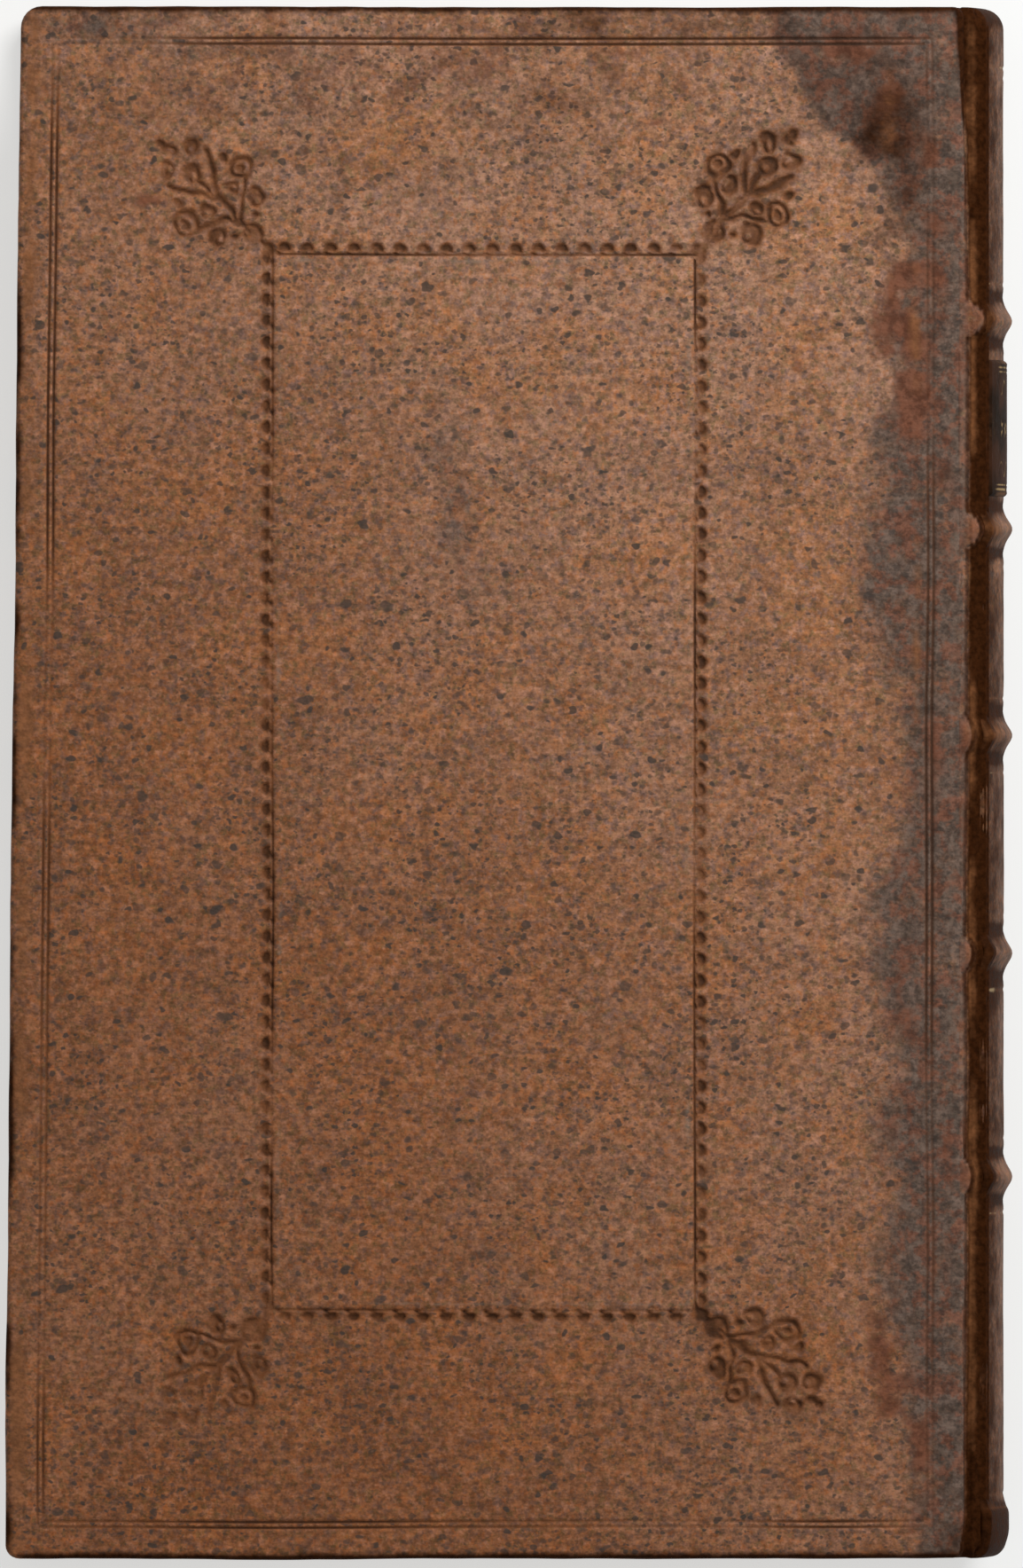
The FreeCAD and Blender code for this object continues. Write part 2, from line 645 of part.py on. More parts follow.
def make_spine_leather():
    body = make_body("spine_leather")
    shell = spine_sketch(body, "shell")
    low = "sizes.tail_cap_radius - sizes.cover_height / 2"
    high = "sizes.cover_height / 2 - sizes.head_cap_radius"
    box_path(shell, "derived.spine_inner", "derived.spine_radius", low, high)
    turn(body, shell, "Revolution", "derived.shoulder_angle")
    caps = spine_sketch(body, "caps")
    add_cap(caps, "", "sizes.head_cap_radius")
    add_cap(caps, "-", "sizes.tail_cap_radius")
    turn(body, caps, "Revolution", "derived.shoulder_angle - sizes.cap_end_angle * 1 deg")
    bands = spine_sketch(body, "bands")
    add_band_sections(bands)
    turn(body, bands, "Revolution", "derived.shoulder_angle")
    for sign, name in (("+", "back_joint"), ("-", "front_joint")):
        joint = make_sketch(body, name, "XZ_Plane", {})
        add_joint_section(joint, sign)
        pad(body, joint, "sizes.cover_height - 2 * sizes.joint_trim", both_ways=True)
    for sign, name in (("+", "back_nubs"), ("-", "front_nubs")):
        cover_x = "(derived.joint_x + sizes.joint_gap)"
        nubs = make_sketch(body, name, "YZ_Plane", {"z": cover_x})
        add_nub_sections(nubs, sign)
        length = f"derived.spine_x + derived.spine_radius * cos(derived.shoulder_angle) - {cover_x}"
        pad(body, nubs, length)
    beds = spine_sketch(body, "cord_beds")
    add_cord_circles(beds, "sizes.cord_diameter / 2 + sizes.glue_gap")
    turn(body, beds, "Groove", "derived.shoulder_angle + sizes.cord_end_angle * 1 deg")
    return body


def make_label():
    body = make_body("spine_label")
    section = spine_sketch(body, "section")
    high = "(sizes.cover_height / 2 - sizes.label_from_head)"
    box_path(
        section,
        "derived.spine_radius",
        "derived.spine_radius + sizes.label_thickness",
        f"{high} - sizes.label_height",
        high,
    )
    turn(body, section, "Revolution", "derived.shoulder_angle - sizes.label_end_angle * 1 deg")
    return body


def make_pieces():
    """Every piece of the book."""
    pieces = [make_text_block(), make_spine_leather(), make_label()]
    pieces += [make_cord(band) for band in BANDS]
    pieces += [make_endband("head_endband", ""), make_endband("tail_endband", "-")]
    for side in SIDES:
        pieces += [make_board(side), make_slips(side), make_leather(side), make_pastedown(side)]
    return pieces


def check_document():
    """Stop if any object of the document failed."""
    for item in doc.Objects:
        if "Invalid" in item.State or "Error" in item.State:
            raise RuntimeError(f"{item.Name} failed: {item.State}")


def write_pieces(pieces):
    """Check each piece's shape and write it to a file named after its label."""
    for piece in pieces:
        if piece.Shape.isNull() or not piece.Shape.isValid() or not piece.Shape.Solids:
            raise RuntimeError(f"{piece.Label} has no valid solid")
    os.makedirs("parts", exist_ok=True)
    for piece in pieces:
        piece.Shape.exportStep(f"parts/{piece.Label}.step")


make_sheet()
make_derived()
book = make_pieces()
doc.recompute()
check_document()
write_pieces(book)
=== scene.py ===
import math

import bmesh
import bpy
import numpy as np
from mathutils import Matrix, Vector
from mathutils.geometry import delaunay_2d_cdt


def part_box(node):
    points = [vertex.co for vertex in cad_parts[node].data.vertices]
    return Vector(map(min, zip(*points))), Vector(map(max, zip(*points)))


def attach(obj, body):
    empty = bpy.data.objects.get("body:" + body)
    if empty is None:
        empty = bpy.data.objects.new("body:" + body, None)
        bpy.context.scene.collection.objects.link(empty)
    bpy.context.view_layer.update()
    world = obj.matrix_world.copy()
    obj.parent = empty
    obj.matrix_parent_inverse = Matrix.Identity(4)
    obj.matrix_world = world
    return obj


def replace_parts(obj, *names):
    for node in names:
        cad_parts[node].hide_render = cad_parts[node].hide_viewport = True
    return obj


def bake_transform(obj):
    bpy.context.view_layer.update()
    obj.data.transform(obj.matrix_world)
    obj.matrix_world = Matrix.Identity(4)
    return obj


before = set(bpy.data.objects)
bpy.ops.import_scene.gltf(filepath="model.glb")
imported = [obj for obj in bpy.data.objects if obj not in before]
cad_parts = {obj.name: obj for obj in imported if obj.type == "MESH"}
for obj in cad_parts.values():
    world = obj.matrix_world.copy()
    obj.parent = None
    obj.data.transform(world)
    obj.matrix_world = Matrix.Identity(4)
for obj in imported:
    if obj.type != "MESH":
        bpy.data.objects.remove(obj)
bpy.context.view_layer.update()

# The antique octavo book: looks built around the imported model.
# Lengths are millimetres until a mesh is made; x runs to the spine, y to the head, z up.

MM = 0.001


def box_mm(node):
    """Lowest and highest corner of a solid."""
    low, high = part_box(node)
    return np.array(low) / MM, np.array(high) / MM


# Sizes read from the frame
COVER_LOW, COVER_HIGH = box_mm("back_leather")
BLOCK_LOW, BLOCK_HIGH = box_mm("text_block")
LABEL_LOW, LABEL_HIGH = box_mm("spine_label")
THICKNESS = COVER_HIGH[2]
MIDDLE_Z = THICKNESS / 2
HEAD_Y = COVER_HIGH[1]
JOINT_X = COVER_HIGH[0]
FORE_TAIL_X = COVER_LOW[0]
COVER_DEPTH = COVER_HIGH[2] - COVER_LOW[2]
PAGE_HEAD_Y = BLOCK_HIGH[1]

# Sizes of the binding, as in the model
FORE_HEAD_X = FORE_TAIL_X + 2.0
HEAD_CORNER, TAIL_CORNER, JOINT_CORNER = 2.8, 1.7, 1.4
LEATHER = 0.9
EDGE_ROUND = 0.8
TURN_IN = 12.0
TURN_IN_THICKNESS = 0.4
SPINE_X = 17.737
SPINE_RADIUS = 45.588
SHOULDER_ANGLE = math.radians(19.77)
SHOULDER_HALF = 15.1
PAGES_HALF = 13.1
PAGES_RADIUS = 44.638
BAND_CENTRES = (59.1, 32.3, 6.1, -21.8, -50.3)
BAND_HEIGHT = 1.1
BAND_SPREAD = 1.5
HEAD_CAP, TAIL_CAP = 2.6, 1.4
CAP_DEPTH = 3.2
FILLET_FROM_BAND = 4.7
TAIL_BULGE, TAIL_BULGE_Y = 0.7, -91.2
SPINE_COLUMNS = 72
ENDBAND_RADIUS = 0.95
ENDBAND_CIRCLE = 42.938
ENDBAND_Y = 97.0
ENDBAND_HALF_ANGLE = SHOULDER_ANGLE - math.radians(1.6)
LABEL_HALF_ANGLE = math.radians(17.77)
LABEL_THICKNESS = 0.45
LABEL_ROWS, LABEL_COLUMNS = 96, 150
FLOWER_PITCH = 3.4
WELD_REACH = 0.002

# Blind tooling of the covers
BORDER_INSETS = (4.05, 4.77)
PANEL_X, PANEL_SIDE, PANEL_TOP = -3.3, 26.95, 67.3
DENTIL_PITCH_LEVEL, DENTIL_PITCH_UPRIGHT = 2.94, 2.71
DENTIL_RADIUS, DENTIL_AWAY = 0.85, 0.6
LINE_HALF_WIDTH = 0.12
LINE_DEPTH = 0.2
TOOL_DEPTH = 0.36
TOOL_WALL, ROLL_WALL = 0.42, 0.3
SHADE_OFFSET = 0.24
FAR = 1e3


def smooth(value):
    """Smooth step from 0 to 1."""
    value = np.clip(value, 0, 1)
    return value * value * (3 - 2 * value)


def hill(distance, width):
    """Rounded bump, 1 in its middle."""
    return np.exp(-(distance / width) ** 2)


def noise(x, y, size, seed):
    """Smooth noise from -1 to 1."""
    cells = 64
    table = np.random.default_rng(seed).random((cells, cells)) * 2 - 1
    u, v = np.asarray(x) / size + 17.3, np.asarray(y) / size + 5.7
    column, row = np.floor(u).astype(int), np.floor(v).astype(int)
    s, t = smooth(u - column), smooth(v - row)
    rows = []
    for cell in (row % cells, (row + 1) % cells):
        rows.append(table[column % cells, cell] * (1 - s) + table[(column + 1) % cells, cell] * s)
    return rows[0] * (1 - t) + rows[1] * t


def rough(x, y, size, seed, octaves=3):
    """Noise with finer detail."""
    total = 0
    for octave in range(octaves):
        total = total + noise(x, y, size / 2 ** octave, seed + octave) / 2 ** octave
    return total / 1.6


class Grain:
    """Noise over the points of one piece."""

    def __init__(self, x, y, seed):
        self.x, self.y, self.seed = x, y, seed

    def even(self, size, step):
        return noise(self.x, self.y, size, self.seed + step)

    def rough(self, size, step):
        return rough(self.x, self.y, size, self.seed + step)


# Meshes

ATTRIBUTE_KINDS = {1: ("FLOAT", "value"), 3: ("FLOAT_VECTOR", "vector"), 4: ("FLOAT_COLOR", "color")}


def add_object(name, data):
    """An object in the scene."""
    obj = bpy.data.objects.new(name, data)
    bpy.context.scene.collection.objects.link(obj)
    return obj


def make_object(name, points, faces, material, **attributes):
    """A smooth mesh object from points in millimetres."""
    mesh = bpy.data.meshes.new(name)
    mesh.from_pydata((points * MM).tolist(), [], faces)
    mesh.polygons.foreach_set("use_smooth", np.ones(len(mesh.polygons), bool))
    for label, values in {"rest": points, **attributes}.items():
        data_type, field = ATTRIBUTE_KINDS[values.size // len(points)]
        attribute = mesh.attributes.new(label, data_type, "POINT")
        attribute.data.foreach_set(field, np.ascontiguousarray(values, np.float32).ravel())
    mesh.materials.append(material)
    return add_object(name, mesh)


def make_leather(name, points, faces, material, stains, marks):
    """Leather; stains are grey, red, dark and dust, marks are tooled, worn, gilt and plain. Dark also holds
    painted shade in the joints and on the spine, dust the painted highlight on the panel's ridge, and tooled
    the painted shadow in the tools' marks.
    """
    levels = [np.clip(np.column_stack(np.broadcast_arrays(*four)), 0, 1) for four in (stains, marks)]
    return make_object(name, points, faces, material, stains=levels[0], marks=levels[1])


def lattice(first, second):
    """Every pair of two rows of values."""
    return [grid.ravel() for grid in np.meshgrid(first, second, indexing="ij")]


def grid_faces(rows, columns, first=0, closed=False, flip=False):
    """Quads of a grid of points."""
    row, column = lattice(np.arange(rows - 1), np.arange(columns if closed else columns - 1))
    a = first + row * columns + column
    b = first + row * columns + (column + 1) % columns
    quads = np.column_stack([a, b, b + columns, a + columns])
    return (quads[:, ::-1] if flip else quads).tolist()


def weld(obj):
    """Join the patches of a closed mesh and face it outwards."""
    work = bmesh.new()
    work.from_mesh(obj.data)
    bmesh.ops.remove_doubles(work, verts=work.verts, dist=WELD_REACH * MM)
    bmesh.ops.recalc_face_normals(work, faces=work.faces)
    work.to_mesh(obj.data)
    work.free()


def thicken(obj, thickness):
    """Give an open skin its thickness, inwards."""
    modifier = obj.modifiers.new("thickness", "SOLIDIFY")
    modifier.thickness = thickness * MM
    modifier.offset = -1
    bpy.context.view_layer.objects.active = obj
    with bpy.context.temp_override(object=obj, active_object=obj, selected_objects=[obj]):
        bpy.ops.object.modifier_apply(modifier=modifier.name)


# Tooling


def fore_edge_x(y):
    """The cover's slanting fore-edge."""
    return FORE_TAIL_X + (FORE_HEAD_X - FORE_TAIL_X) * (y + HEAD_Y) / (2 * HEAD_Y)


def frame_sides(left_low, left_high, right, low, high):
    """The four sides of a frame."""
    corners = [(right, low), (right, high), (left_high, high), (left_low, low)]
    return list(zip(corners, corners[1:] + corners[:1]))


def fillet_lines():
    """Every line of the border and of the panel."""
    lines = []
    for inset in BORDER_INSETS:
        top = HEAD_Y - inset
        lines += frame_sides(FORE_TAIL_X + inset, FORE_HEAD_X + inset, JOINT_X - inset, -top, top)
    left, right = PANEL_X - PANEL_SIDE, PANEL_X + PANEL_SIDE
    lines += frame_sides(left, left, right, -PANEL_TOP, PANEL_TOP)
    return lines


def segment_distance(x, y, start, end):
    """Distance to a straight segment."""
    dx, dy = end[0] - start[0], end[1] - start[1]
    t = np.clip(((x - start[0]) * dx + (y - start[1]) * dy) / (dx * dx + dy * dy), 0, 1)
    return np.hypot(x - start[0] - t * dx, y - start[1] - t * dy)


def line_distance(x, y):
    """Distance to the nearest fillet line."""
    nearest = np.full(np.shape(x), FAR)
    for start, end in fillet_lines():
        nearest = np.minimum(nearest, segment_distance(x, y, start, end))
    return nearest


def dentil_distance(along, away, length, pitch):
    """Distance to the nearest half-round dentil of a row."""
    offset = ((along / pitch) % 1 - 0.5) * pitch
    disc = np.hypot(offset, away - DENTIL_AWAY) - DENTIL_RADIUS
    tail = np.hypot(offset + 0.55, away - 0.2) - 0.28
    half = np.maximum(disc, DENTIL_AWAY - 0.25 - away)
    return np.maximum(np.minimum(half, tail), abs(along - length / 2) - length / 2)


def roll_distance(x, y):
    """Distance to the roll of dentils around the panel."""
    x, half_x, half_y = x - PANEL_X, PANEL_SIDE, PANEL_TOP
    rows = []
    for sign in (-1, 1):
        rows.append(dentil_distance(x + half_x, sign * y - half_y, 2 * half_x, DENTIL_PITCH_LEVEL))
        rows.append(dentil_distance(y + half_y, sign * x - half_x, 2 * half_y, DENTIL_PITCH_UPRIGHT))
    return np.minimum.reduce(rows)


# Corner tool, along and across its axis from the panel's corner
STEMS = (
    ((1.5, 0.0), (9.5, 0.0), 0.42),
    ((9.5, 0.0), (13.6, 0.0), 0.34),
    ((5.6, 0.0), (7.4, 1.5), 0.34),
    ((7.4, 1.5), (8.4, 3.3), 0.32),
    ((8.4, 3.3), (9.3, 4.6), 0.28),
    ((10.0, 0.0), (12.6, 2.0), 0.4),
    ((12.6, 2.0), (15.4, 3.2), 0.36),
)
DISCS = ((0.8, 0.0, 0.85), (5.15, 2.15, 0.42), (13.2, 4.3, 0.62), (19.9, 0.0, 0.6), (18.8, 0.0, 0.72))
CRESCENTS = (
    (3.7, 0.0, 1.55, 0.0),
    (6.7, 3.75, 1.3, 200.0),
    (9.7, 2.1, 1.0, 120.0),
    (17.2, 2.1, 1.15, 240.0),
    (14.8, 0.0, 1.4, 180.0),
)
ROSETTES = ((10.6, 5.0, 1.65),)


def fleuron_distance(along, across):
    """Distance to the nearest mark of a corner tool."""
    across = abs(across)
    marks = [segment_distance(along, across, start, end) - half for start, end, half in STEMS]
    marks += [np.hypot(along - a, across - b) - r for a, b, r in DISCS]
    for a, b, radius, facing in CRESCENTS:
        turn = math.radians(facing)
        inner_a, inner_b = a + 0.45 * radius * math.cos(turn), b + 0.45 * radius * math.sin(turn)
        hollow = 0.3 * radius - np.hypot(along - inner_a, across - inner_b)
        marks.append(np.maximum(np.hypot(along - a, across - b) - radius, hollow))
    for a, b, radius in ROSETTES:
        from_centre = np.hypot(along - a, across - b)
        marks.append(abs(from_centre - 0.8 * radius) - 0.34)
        marks.append(from_centre - 0.68)
    return np.minimum.reduce(marks)


# Corner of the panel, angle of the tool's axis and how deep it was pressed
FLEURONS = ((1, 1, 50.0, 1.0), (1, -1, 38.0, 1.0), (-1, 1, 45.0, 0.85), (-1, -1, 45.0, 0.8))
FLEURON_REACH = 22.0
WARP = 0.42


def corner_tools(x, y):
    """Distance to the nearest corner tool, and how deep it was pressed."""
    nearest = np.full(np.shape(x), FAR)
    pressure = np.ones(np.shape(x))
    for sign_x, sign_y, angle, depth in FLEURONS:
        out = sign_x * (x - PANEL_X) - PANEL_SIDE
        up = sign_y * y - PANEL_TOP
        close = (np.hypot(out, up) < FLEURON_REACH) & (out > -4) & (up > -4)
        turn = math.radians(angle)
        along = out[close] * math.cos(turn) + up[close] * math.sin(turn)
        across = up[close] * math.cos(turn) - out[close] * math.sin(turn)
        along = along + WARP * noise(x[close], y[close], 1.7, 401)
        across = across + WARP * noise(x[close], y[close], 1.7, 402)
        nearest[close] = np.minimum(nearest[close], fleuron_distance(along, across))
        pressure[close] = depth
    return nearest, pressure


# Covers

RING_SIDE_STEPS = (120, 196, 120, 196)
RING_ARC_STEPS = 6
LEAST_RADIUS = 0.2
FACE_INSET = 2.4


def cover_ring(inset, joint_inset):
    """Points around a cover, at a distance in from its edges."""
    top, right = HEAD_Y - inset, JOINT_X - joint_inset
    corners = [(right, top, JOINT_CORNER - joint_inset), (FORE_HEAD_X + inset, top, HEAD_CORNER - inset)]
    corners += [(FORE_TAIL_X + inset, -top, TAIL_CORNER - inset), (right, -top, JOINT_CORNER - joint_inset)]
    arcs = []
    for quarter, (x, y, radius) in enumerate(corners):
        radius = max(radius, LEAST_RADIUS)
        cx, cy = x - math.copysign(radius, x), y - math.copysign(radius, y)
        angles = np.radians(90 * (quarter + np.arange(RING_ARC_STEPS + 1) / RING_ARC_STEPS))
        arcs.append(np.column_stack([cx + radius * np.cos(angles), cy + radius * np.sin(angles)]))
    points = []
    for quarter, arc in enumerate(arcs):
        following = arcs[(quarter + 1) % 4]
        steps = RING_SIDE_STEPS[quarter]
        share = (np.arange(1, steps) / steps)[:, None]
        points += [arc, arc[-1] * (1 - share) + following[0] * share]
    return np.vstack(points)


def mitre_columns(total, count):
    """1 where the turn-ins meet at the fore-edge corners."""
    seams = [sum(RING_SIDE_STEPS[:quarter]) + int((quarter + 0.5) * RING_ARC_STEPS) for quarter in (1, 2)]
    return np.isin(np.arange(total) % count, seams)


def cover_section():
    """Section round the board: inset, inset at the joint and drop below the outer face."""
    section = [(FACE_INSET, FACE_INSET, 0.0), (1.7, 1.7, 0.0), (1.15, 1.15, 0.01)]
    for angle in np.radians(np.arange(15, 91, 15)):
        inset = EDGE_ROUND * (1 - math.sin(angle))
        section.append((inset, inset, EDGE_ROUND * (1 - math.cos(angle))))
    inner_round = 0.7
    side_end = COVER_DEPTH - inner_round
    section += [(-0.03, 0.0, drop) for drop in (1.3, 1.9, 2.5)] + [(0.0, 0.0, side_end)]
    for angle in np.radians((30, 60, 90)):
        inset = inner_round * (1 - math.cos(angle))
        section.append((inset, inset, side_end + inner_round * math.sin(angle)))
    wall = LEATHER - 0.02
    for share in (0.2, 0.45, 0.7, 0.93, 0.985):
        section.append((TURN_IN * share, inner_round + (wall - inner_round) * share, COVER_DEPTH))
    board_face = COVER_DEPTH - TURN_IN_THICKNESS
    section += [(TURN_IN, wall, COVER_DEPTH - 0.08), (TURN_IN + 0.05, wall, board_face)]
    section += [(LEATHER, LEATHER, board_face), (LEATHER, LEATHER, LEATHER)]
    return section


def scattered(spacing, rng):
    """Staggered points over a cover."""
    xs = np.arange(FORE_TAIL_X, JOINT_X, spacing)
    ys = np.arange(-HEAD_Y, HEAD_Y, spacing * 0.87)
    x, y = np.meshgrid(xs, ys)
    x[1::2] += spacing / 2
    x = x + rng.uniform(-0.16, 0.16, x.shape) * spacing
    y = y + rng.uniform(-0.16, 0.16, y.shape) * spacing
    margin = FACE_INSET + spacing * 0.5
    inside = (x > fore_edge_x(y) + margin) & (x < JOINT_X - margin) & (abs(y) < HEAD_Y - margin)
    return x[inside], y[inside]


ROW_OFFSETS = (-0.42, -0.2, -0.08, 0.08, 0.2, 0.42)
ROW_STEP = 0.55
ROW_CLEAR = 0.55


def line_rows():
    """Rows of points beside every fillet line."""
    points = []
    for start, end in fillet_lines():
        dx, dy = end[0] - start[0], end[1] - start[1]
        length = math.hypot(dx, dy)
        share = np.arange(0.5, length / ROW_STEP - 0.5) * ROW_STEP / length
        for offset in ROW_OFFSETS:
            x = start[0] + share * dx - offset * dy / length
            y = start[1] + share * dy + offset * dx / length
            points.append(np.column_stack([x, y]))
    return np.vstack(points)


def face_points(seed):
    """Points of a cover's outer face, denser where it is tooled."""
    rng = np.random.default_rng(seed)
    chosen = [line_rows()]
    for spacing, near, far in ((0.27, -FAR, 0.42), (0.55, 0.42, 1.4), (1.15, 1.4, FAR * 2)):
        x, y = scattered(spacing, rng)
        line = line_distance(x, y)
        tools, _ = corner_tools(x, y)
        tools = np.minimum(tools, roll_distance(x, y))
        away = np.minimum(tools, line - 0.1)
        keep = (away >= near) & (away < far) & (line > ROW_CLEAR)
        chosen.append(np.column_stack([x[keep], y[keep]]))
    return np.vstack(chosen)


def slip_ridges(x, y):
    """Low ridges over the cord ends."""
    total = 0
    for centre in BAND_CENTRES:
        total = total + hill(y - centre, 1.7) * smooth((x - JOINT_X + 11) / 9)
    return total


def tool_brown_and_shadow(x, y, tools, roll, pressure):
    """Brown of the tools' marks, darkest at their upper right, where painted shadow falls on the wall inside
    each mark.
    """
    beside, _ = corner_tools(x + SHADE_OFFSET, y + SHADE_OFFSET)
    beside = np.minimum(beside, roll_distance(x + SHADE_OFFSET, y + SHADE_OFFSET))
    marks = np.minimum(tools, roll)
    inside = smooth(0.5 - marks / 0.55)
    # Painted shadow: the wall inside each mark that faces away from the light, at its upper right.
    shadowed_wall = inside * smooth(0.6 + beside / 0.5)
    surround = np.maximum(0.5 * smooth(1 - tools / 1.1) * pressure, 0.34 * smooth(1 - roll / 0.9))
    uneven = 0.9 + 0.3 * noise(x, y, 1.3, 403)
    return np.maximum(inside * 0.78, surround) * uneven + 0.4 * shadowed_wall


def relief(x, y, seed):
    """Height of the outer face, its lines, the brown of its tools with their painted shadow, and the panel's
    ridge.
    """
    grain = Grain(x, y, seed)
    line = line_distance(x, y)
    tools, pressure = corner_tools(x, y)
    roll = roll_distance(x, y)
    uneven = 1 + 0.35 * grain.even(9, 20)
    patchy = np.clip(0.7 + 0.6 * grain.even(15, 22), 0.25, 1.1)
    in_line = smooth((2.2 * LINE_HALF_WIDTH - line) / (1.4 * LINE_HALF_WIDTH)) * patchy
    in_tool = smooth(0.5 - tools / TOOL_WALL) * pressure * np.clip(uneven, 0, 1.15)
    in_roll = smooth(0.5 - roll / ROLL_WALL) * np.clip(uneven - 0.15, 0, 1)
    rim = 0.03 * hill(line - 0.42, 0.2) + 0.05 * hill(tools - 0.4, 0.25) * pressure
    rim += 0.03 * hill(roll - 0.35, 0.2)
    panel = np.maximum(abs(x - PANEL_X) - PANEL_SIDE, abs(y) - PANEL_TOP)
    ridge = hill(panel + 0.85, 0.28) * smooth(0.5 + 1.2 * grain.even(12, 21))
    height = 0.13 * grain.rough(38, 0) + 0.035 * grain.rough(6, 7) + 0.05 * smooth(-panel / 1.2)
    height += 0.09 * ridge + rim + 0.12 * slip_ridges(x, y)
    height -= LINE_DEPTH * in_line + TOOL_DEPTH * np.maximum(in_tool, in_roll)
    # Brown of the tools' marks, with the painted shadow on their upper right walls.
    brown_and_shadow = tool_brown_and_shadow(x, y, tools, roll, pressure) * np.clip(uneven, 0, 1)
    brown_and_shadow *= np.where(tools < roll, pressure, 1)
    return height, in_line, brown_and_shadow, ridge


# Border of the grey stain beside the joint, as pairs of y and x
STAIN_BORDER = (
    (-99, 51.5), (-92, 52), (-86, 53), (-80, 51), (-68, 49), (-58, 48.5), (-50, 50), (-44, 48), (-36, 49.5),
    (-30, 48), (-24, 46.5), (-14, 47), (-8, 50.5), (0, 52), (8, 51), (16, 49.5), (24, 46.5), (32, 46),
    (44, 47), (50, 49.5), (56, 49.5), (66, 50.5), (72, 50), (78, 47),
    (83, 41), (88, 38), (96, 33.5), (99, 33),
)
# Centre, the two half-widths and the strength of each patch
RED_PATCHES = (
    (53.5, 78, 1.6, 5, 0.9), (50.5, 60, 2.2, 7, 0.9), (52, 47, 2.4, 5, 0.8), (48.5, 88, 2.6, 6, 0.9),
    (42, 93, 4.0, 3, 0.7), (55.5, 38, 1.6, 9, 0.6), (54.5, 2, 1.5, 8, 0.5), (51, -30, 1.8, 9, 0.5),
    (55.8, -52, 1.2, 12, 0.6), (52, -84, 1.8, 7, 0.9), (48.5, -46, 1.2, 3, 0.8), (55, 66, 1.5, 6, 0.6),
    (46.5, -68, 2.0, 9, 0.55), (50.5, -10, 1.6, 16, 0.5), (47, 57, 1.2, 5, 0.5), (49, -78, 2.4, 8, 0.8),
    (-8, 92, 60, 12, 0.36), (51, 58, 3.5, 12, 0.5),
)
SCUFFS = ((-46, 74.3, 2.6, 0.9, 0.85), (18.2, 84, 2.8, 0.8, 0.6), (36.8, 53.4, 1.1, 1.9, 0.6),
          (-30, -38, 3, 0.8, 0.4), (12, -83, 2.5, 0.9, 0.4), (-7.5, 25.5, 5.5, 1.0, 0.35))
SMOKE = ((-9.2, 45, 2.4, 7, 0.42), (-6.8, 35, 2.6, 8, 0.5), (-4, 26, 5, 6, 0.3), (-2.5, -60, 3.5, 1.5, 0.45),
         (-52, 96.5, 9, 2.2, 0.7), (-38, 93.5, 15, 1.6, 0.45))
DARK_PATCHES = ((46, 88, 8, 7, 0.32), (50, 76, 6, 11, 0.3), (20, 97, 18, 2.4, 0.34), (57, -96, 4, 3, 0.5),
                (-6, 85, 60, 14, 0.32), (37, 50, 11, 22, 0.22))
ORANGE_PATCHES = ((51.7, 62, 1.0, 22, 0.85), (51.9, 20, 0.9, 16, 0.7), (49.6, -42, 1.0, 30, 0.5),
                  (48.4, 85, 1.4, 7, 0.8), (47, 40, 2.5, 3, 0.4))
DUST_PATCHES = ((55.4, 92, 1.5, 8, 0.5), (56.6, 0, 0.8, 70, 0.5))


def patches(x, y, spots):
    """Sum of soft patches."""
    total = 0
    for cx, cy, across, along, strength in spots:
        total = total + strength * np.exp(-((x - cx) / across) ** 2 - ((y - cy) / along) ** 2)
    return total


def cover_stains(x, y, inset, seed, own_stain):
    """Grey, red, dark and dust of a cover's outer face; the dark where it turns down into the joint is partly
    painted shade.
    """
    grain = Grain(x, y, seed)
    border_y, border_x = np.array(STAIN_BORDER).T
    border = np.interp(y, border_y, border_x) + 2.2 * grain.rough(8, 31)
    ramp = 3.5 + 5 * smooth((78 - y) / 10)
    grey = smooth((x - border) / ramp + 0.6) * (0.86 + 0.3 * grain.rough(4, 33))
    if not own_stain:
        grey = grey * smooth(0.6 + grain.rough(30, 35))
    grey = np.maximum(grey, patches(x, y, SMOKE) * own_stain)
    red = patches(x, y, RED_PATCHES) * 1.15 * smooth(0.6 + 1.3 * grain.rough(3.2, 37))
    red = np.maximum(red, patches(x, y, SCUFFS) * own_stain)
    dashes = smooth(0.55 + 0.9 * grain.rough(6, 38))
    fore = smooth((x - fore_edge_x(y)) / 3)
    rim = np.maximum(inset, np.minimum(x - fore_edge_x(y), HEAD_Y - abs(y)))
    dark = hill(np.maximum(rim, 0), 0.9) * 0.85 * (fore + (1 - fore) * dashes)
    dark = np.maximum(dark, patches(x, y, DARK_PATCHES) * (0.9 + 0.5 * grain.rough(4, 36)))
    # Dark where the cover turns down into the joint: the leather's own darker dye with painted shade.
    dark = np.maximum(dark, smooth((x - joint_edge(y, seed + 20)) / 0.6 + 0.35) * 0.9)
    dust = patches(x, y, DUST_PATCHES) * (0.6 + 0.5 * grain.rough(4, 39))
    return np.clip([grey, red, dark, dust], 0, 1)


def edge_distance(x, y):
    """Distance in from the nearest edge of a cover."""
    return np.minimum.reduce([x - fore_edge_x(y), JOINT_X - x, HEAD_Y - y, HEAD_Y + y])


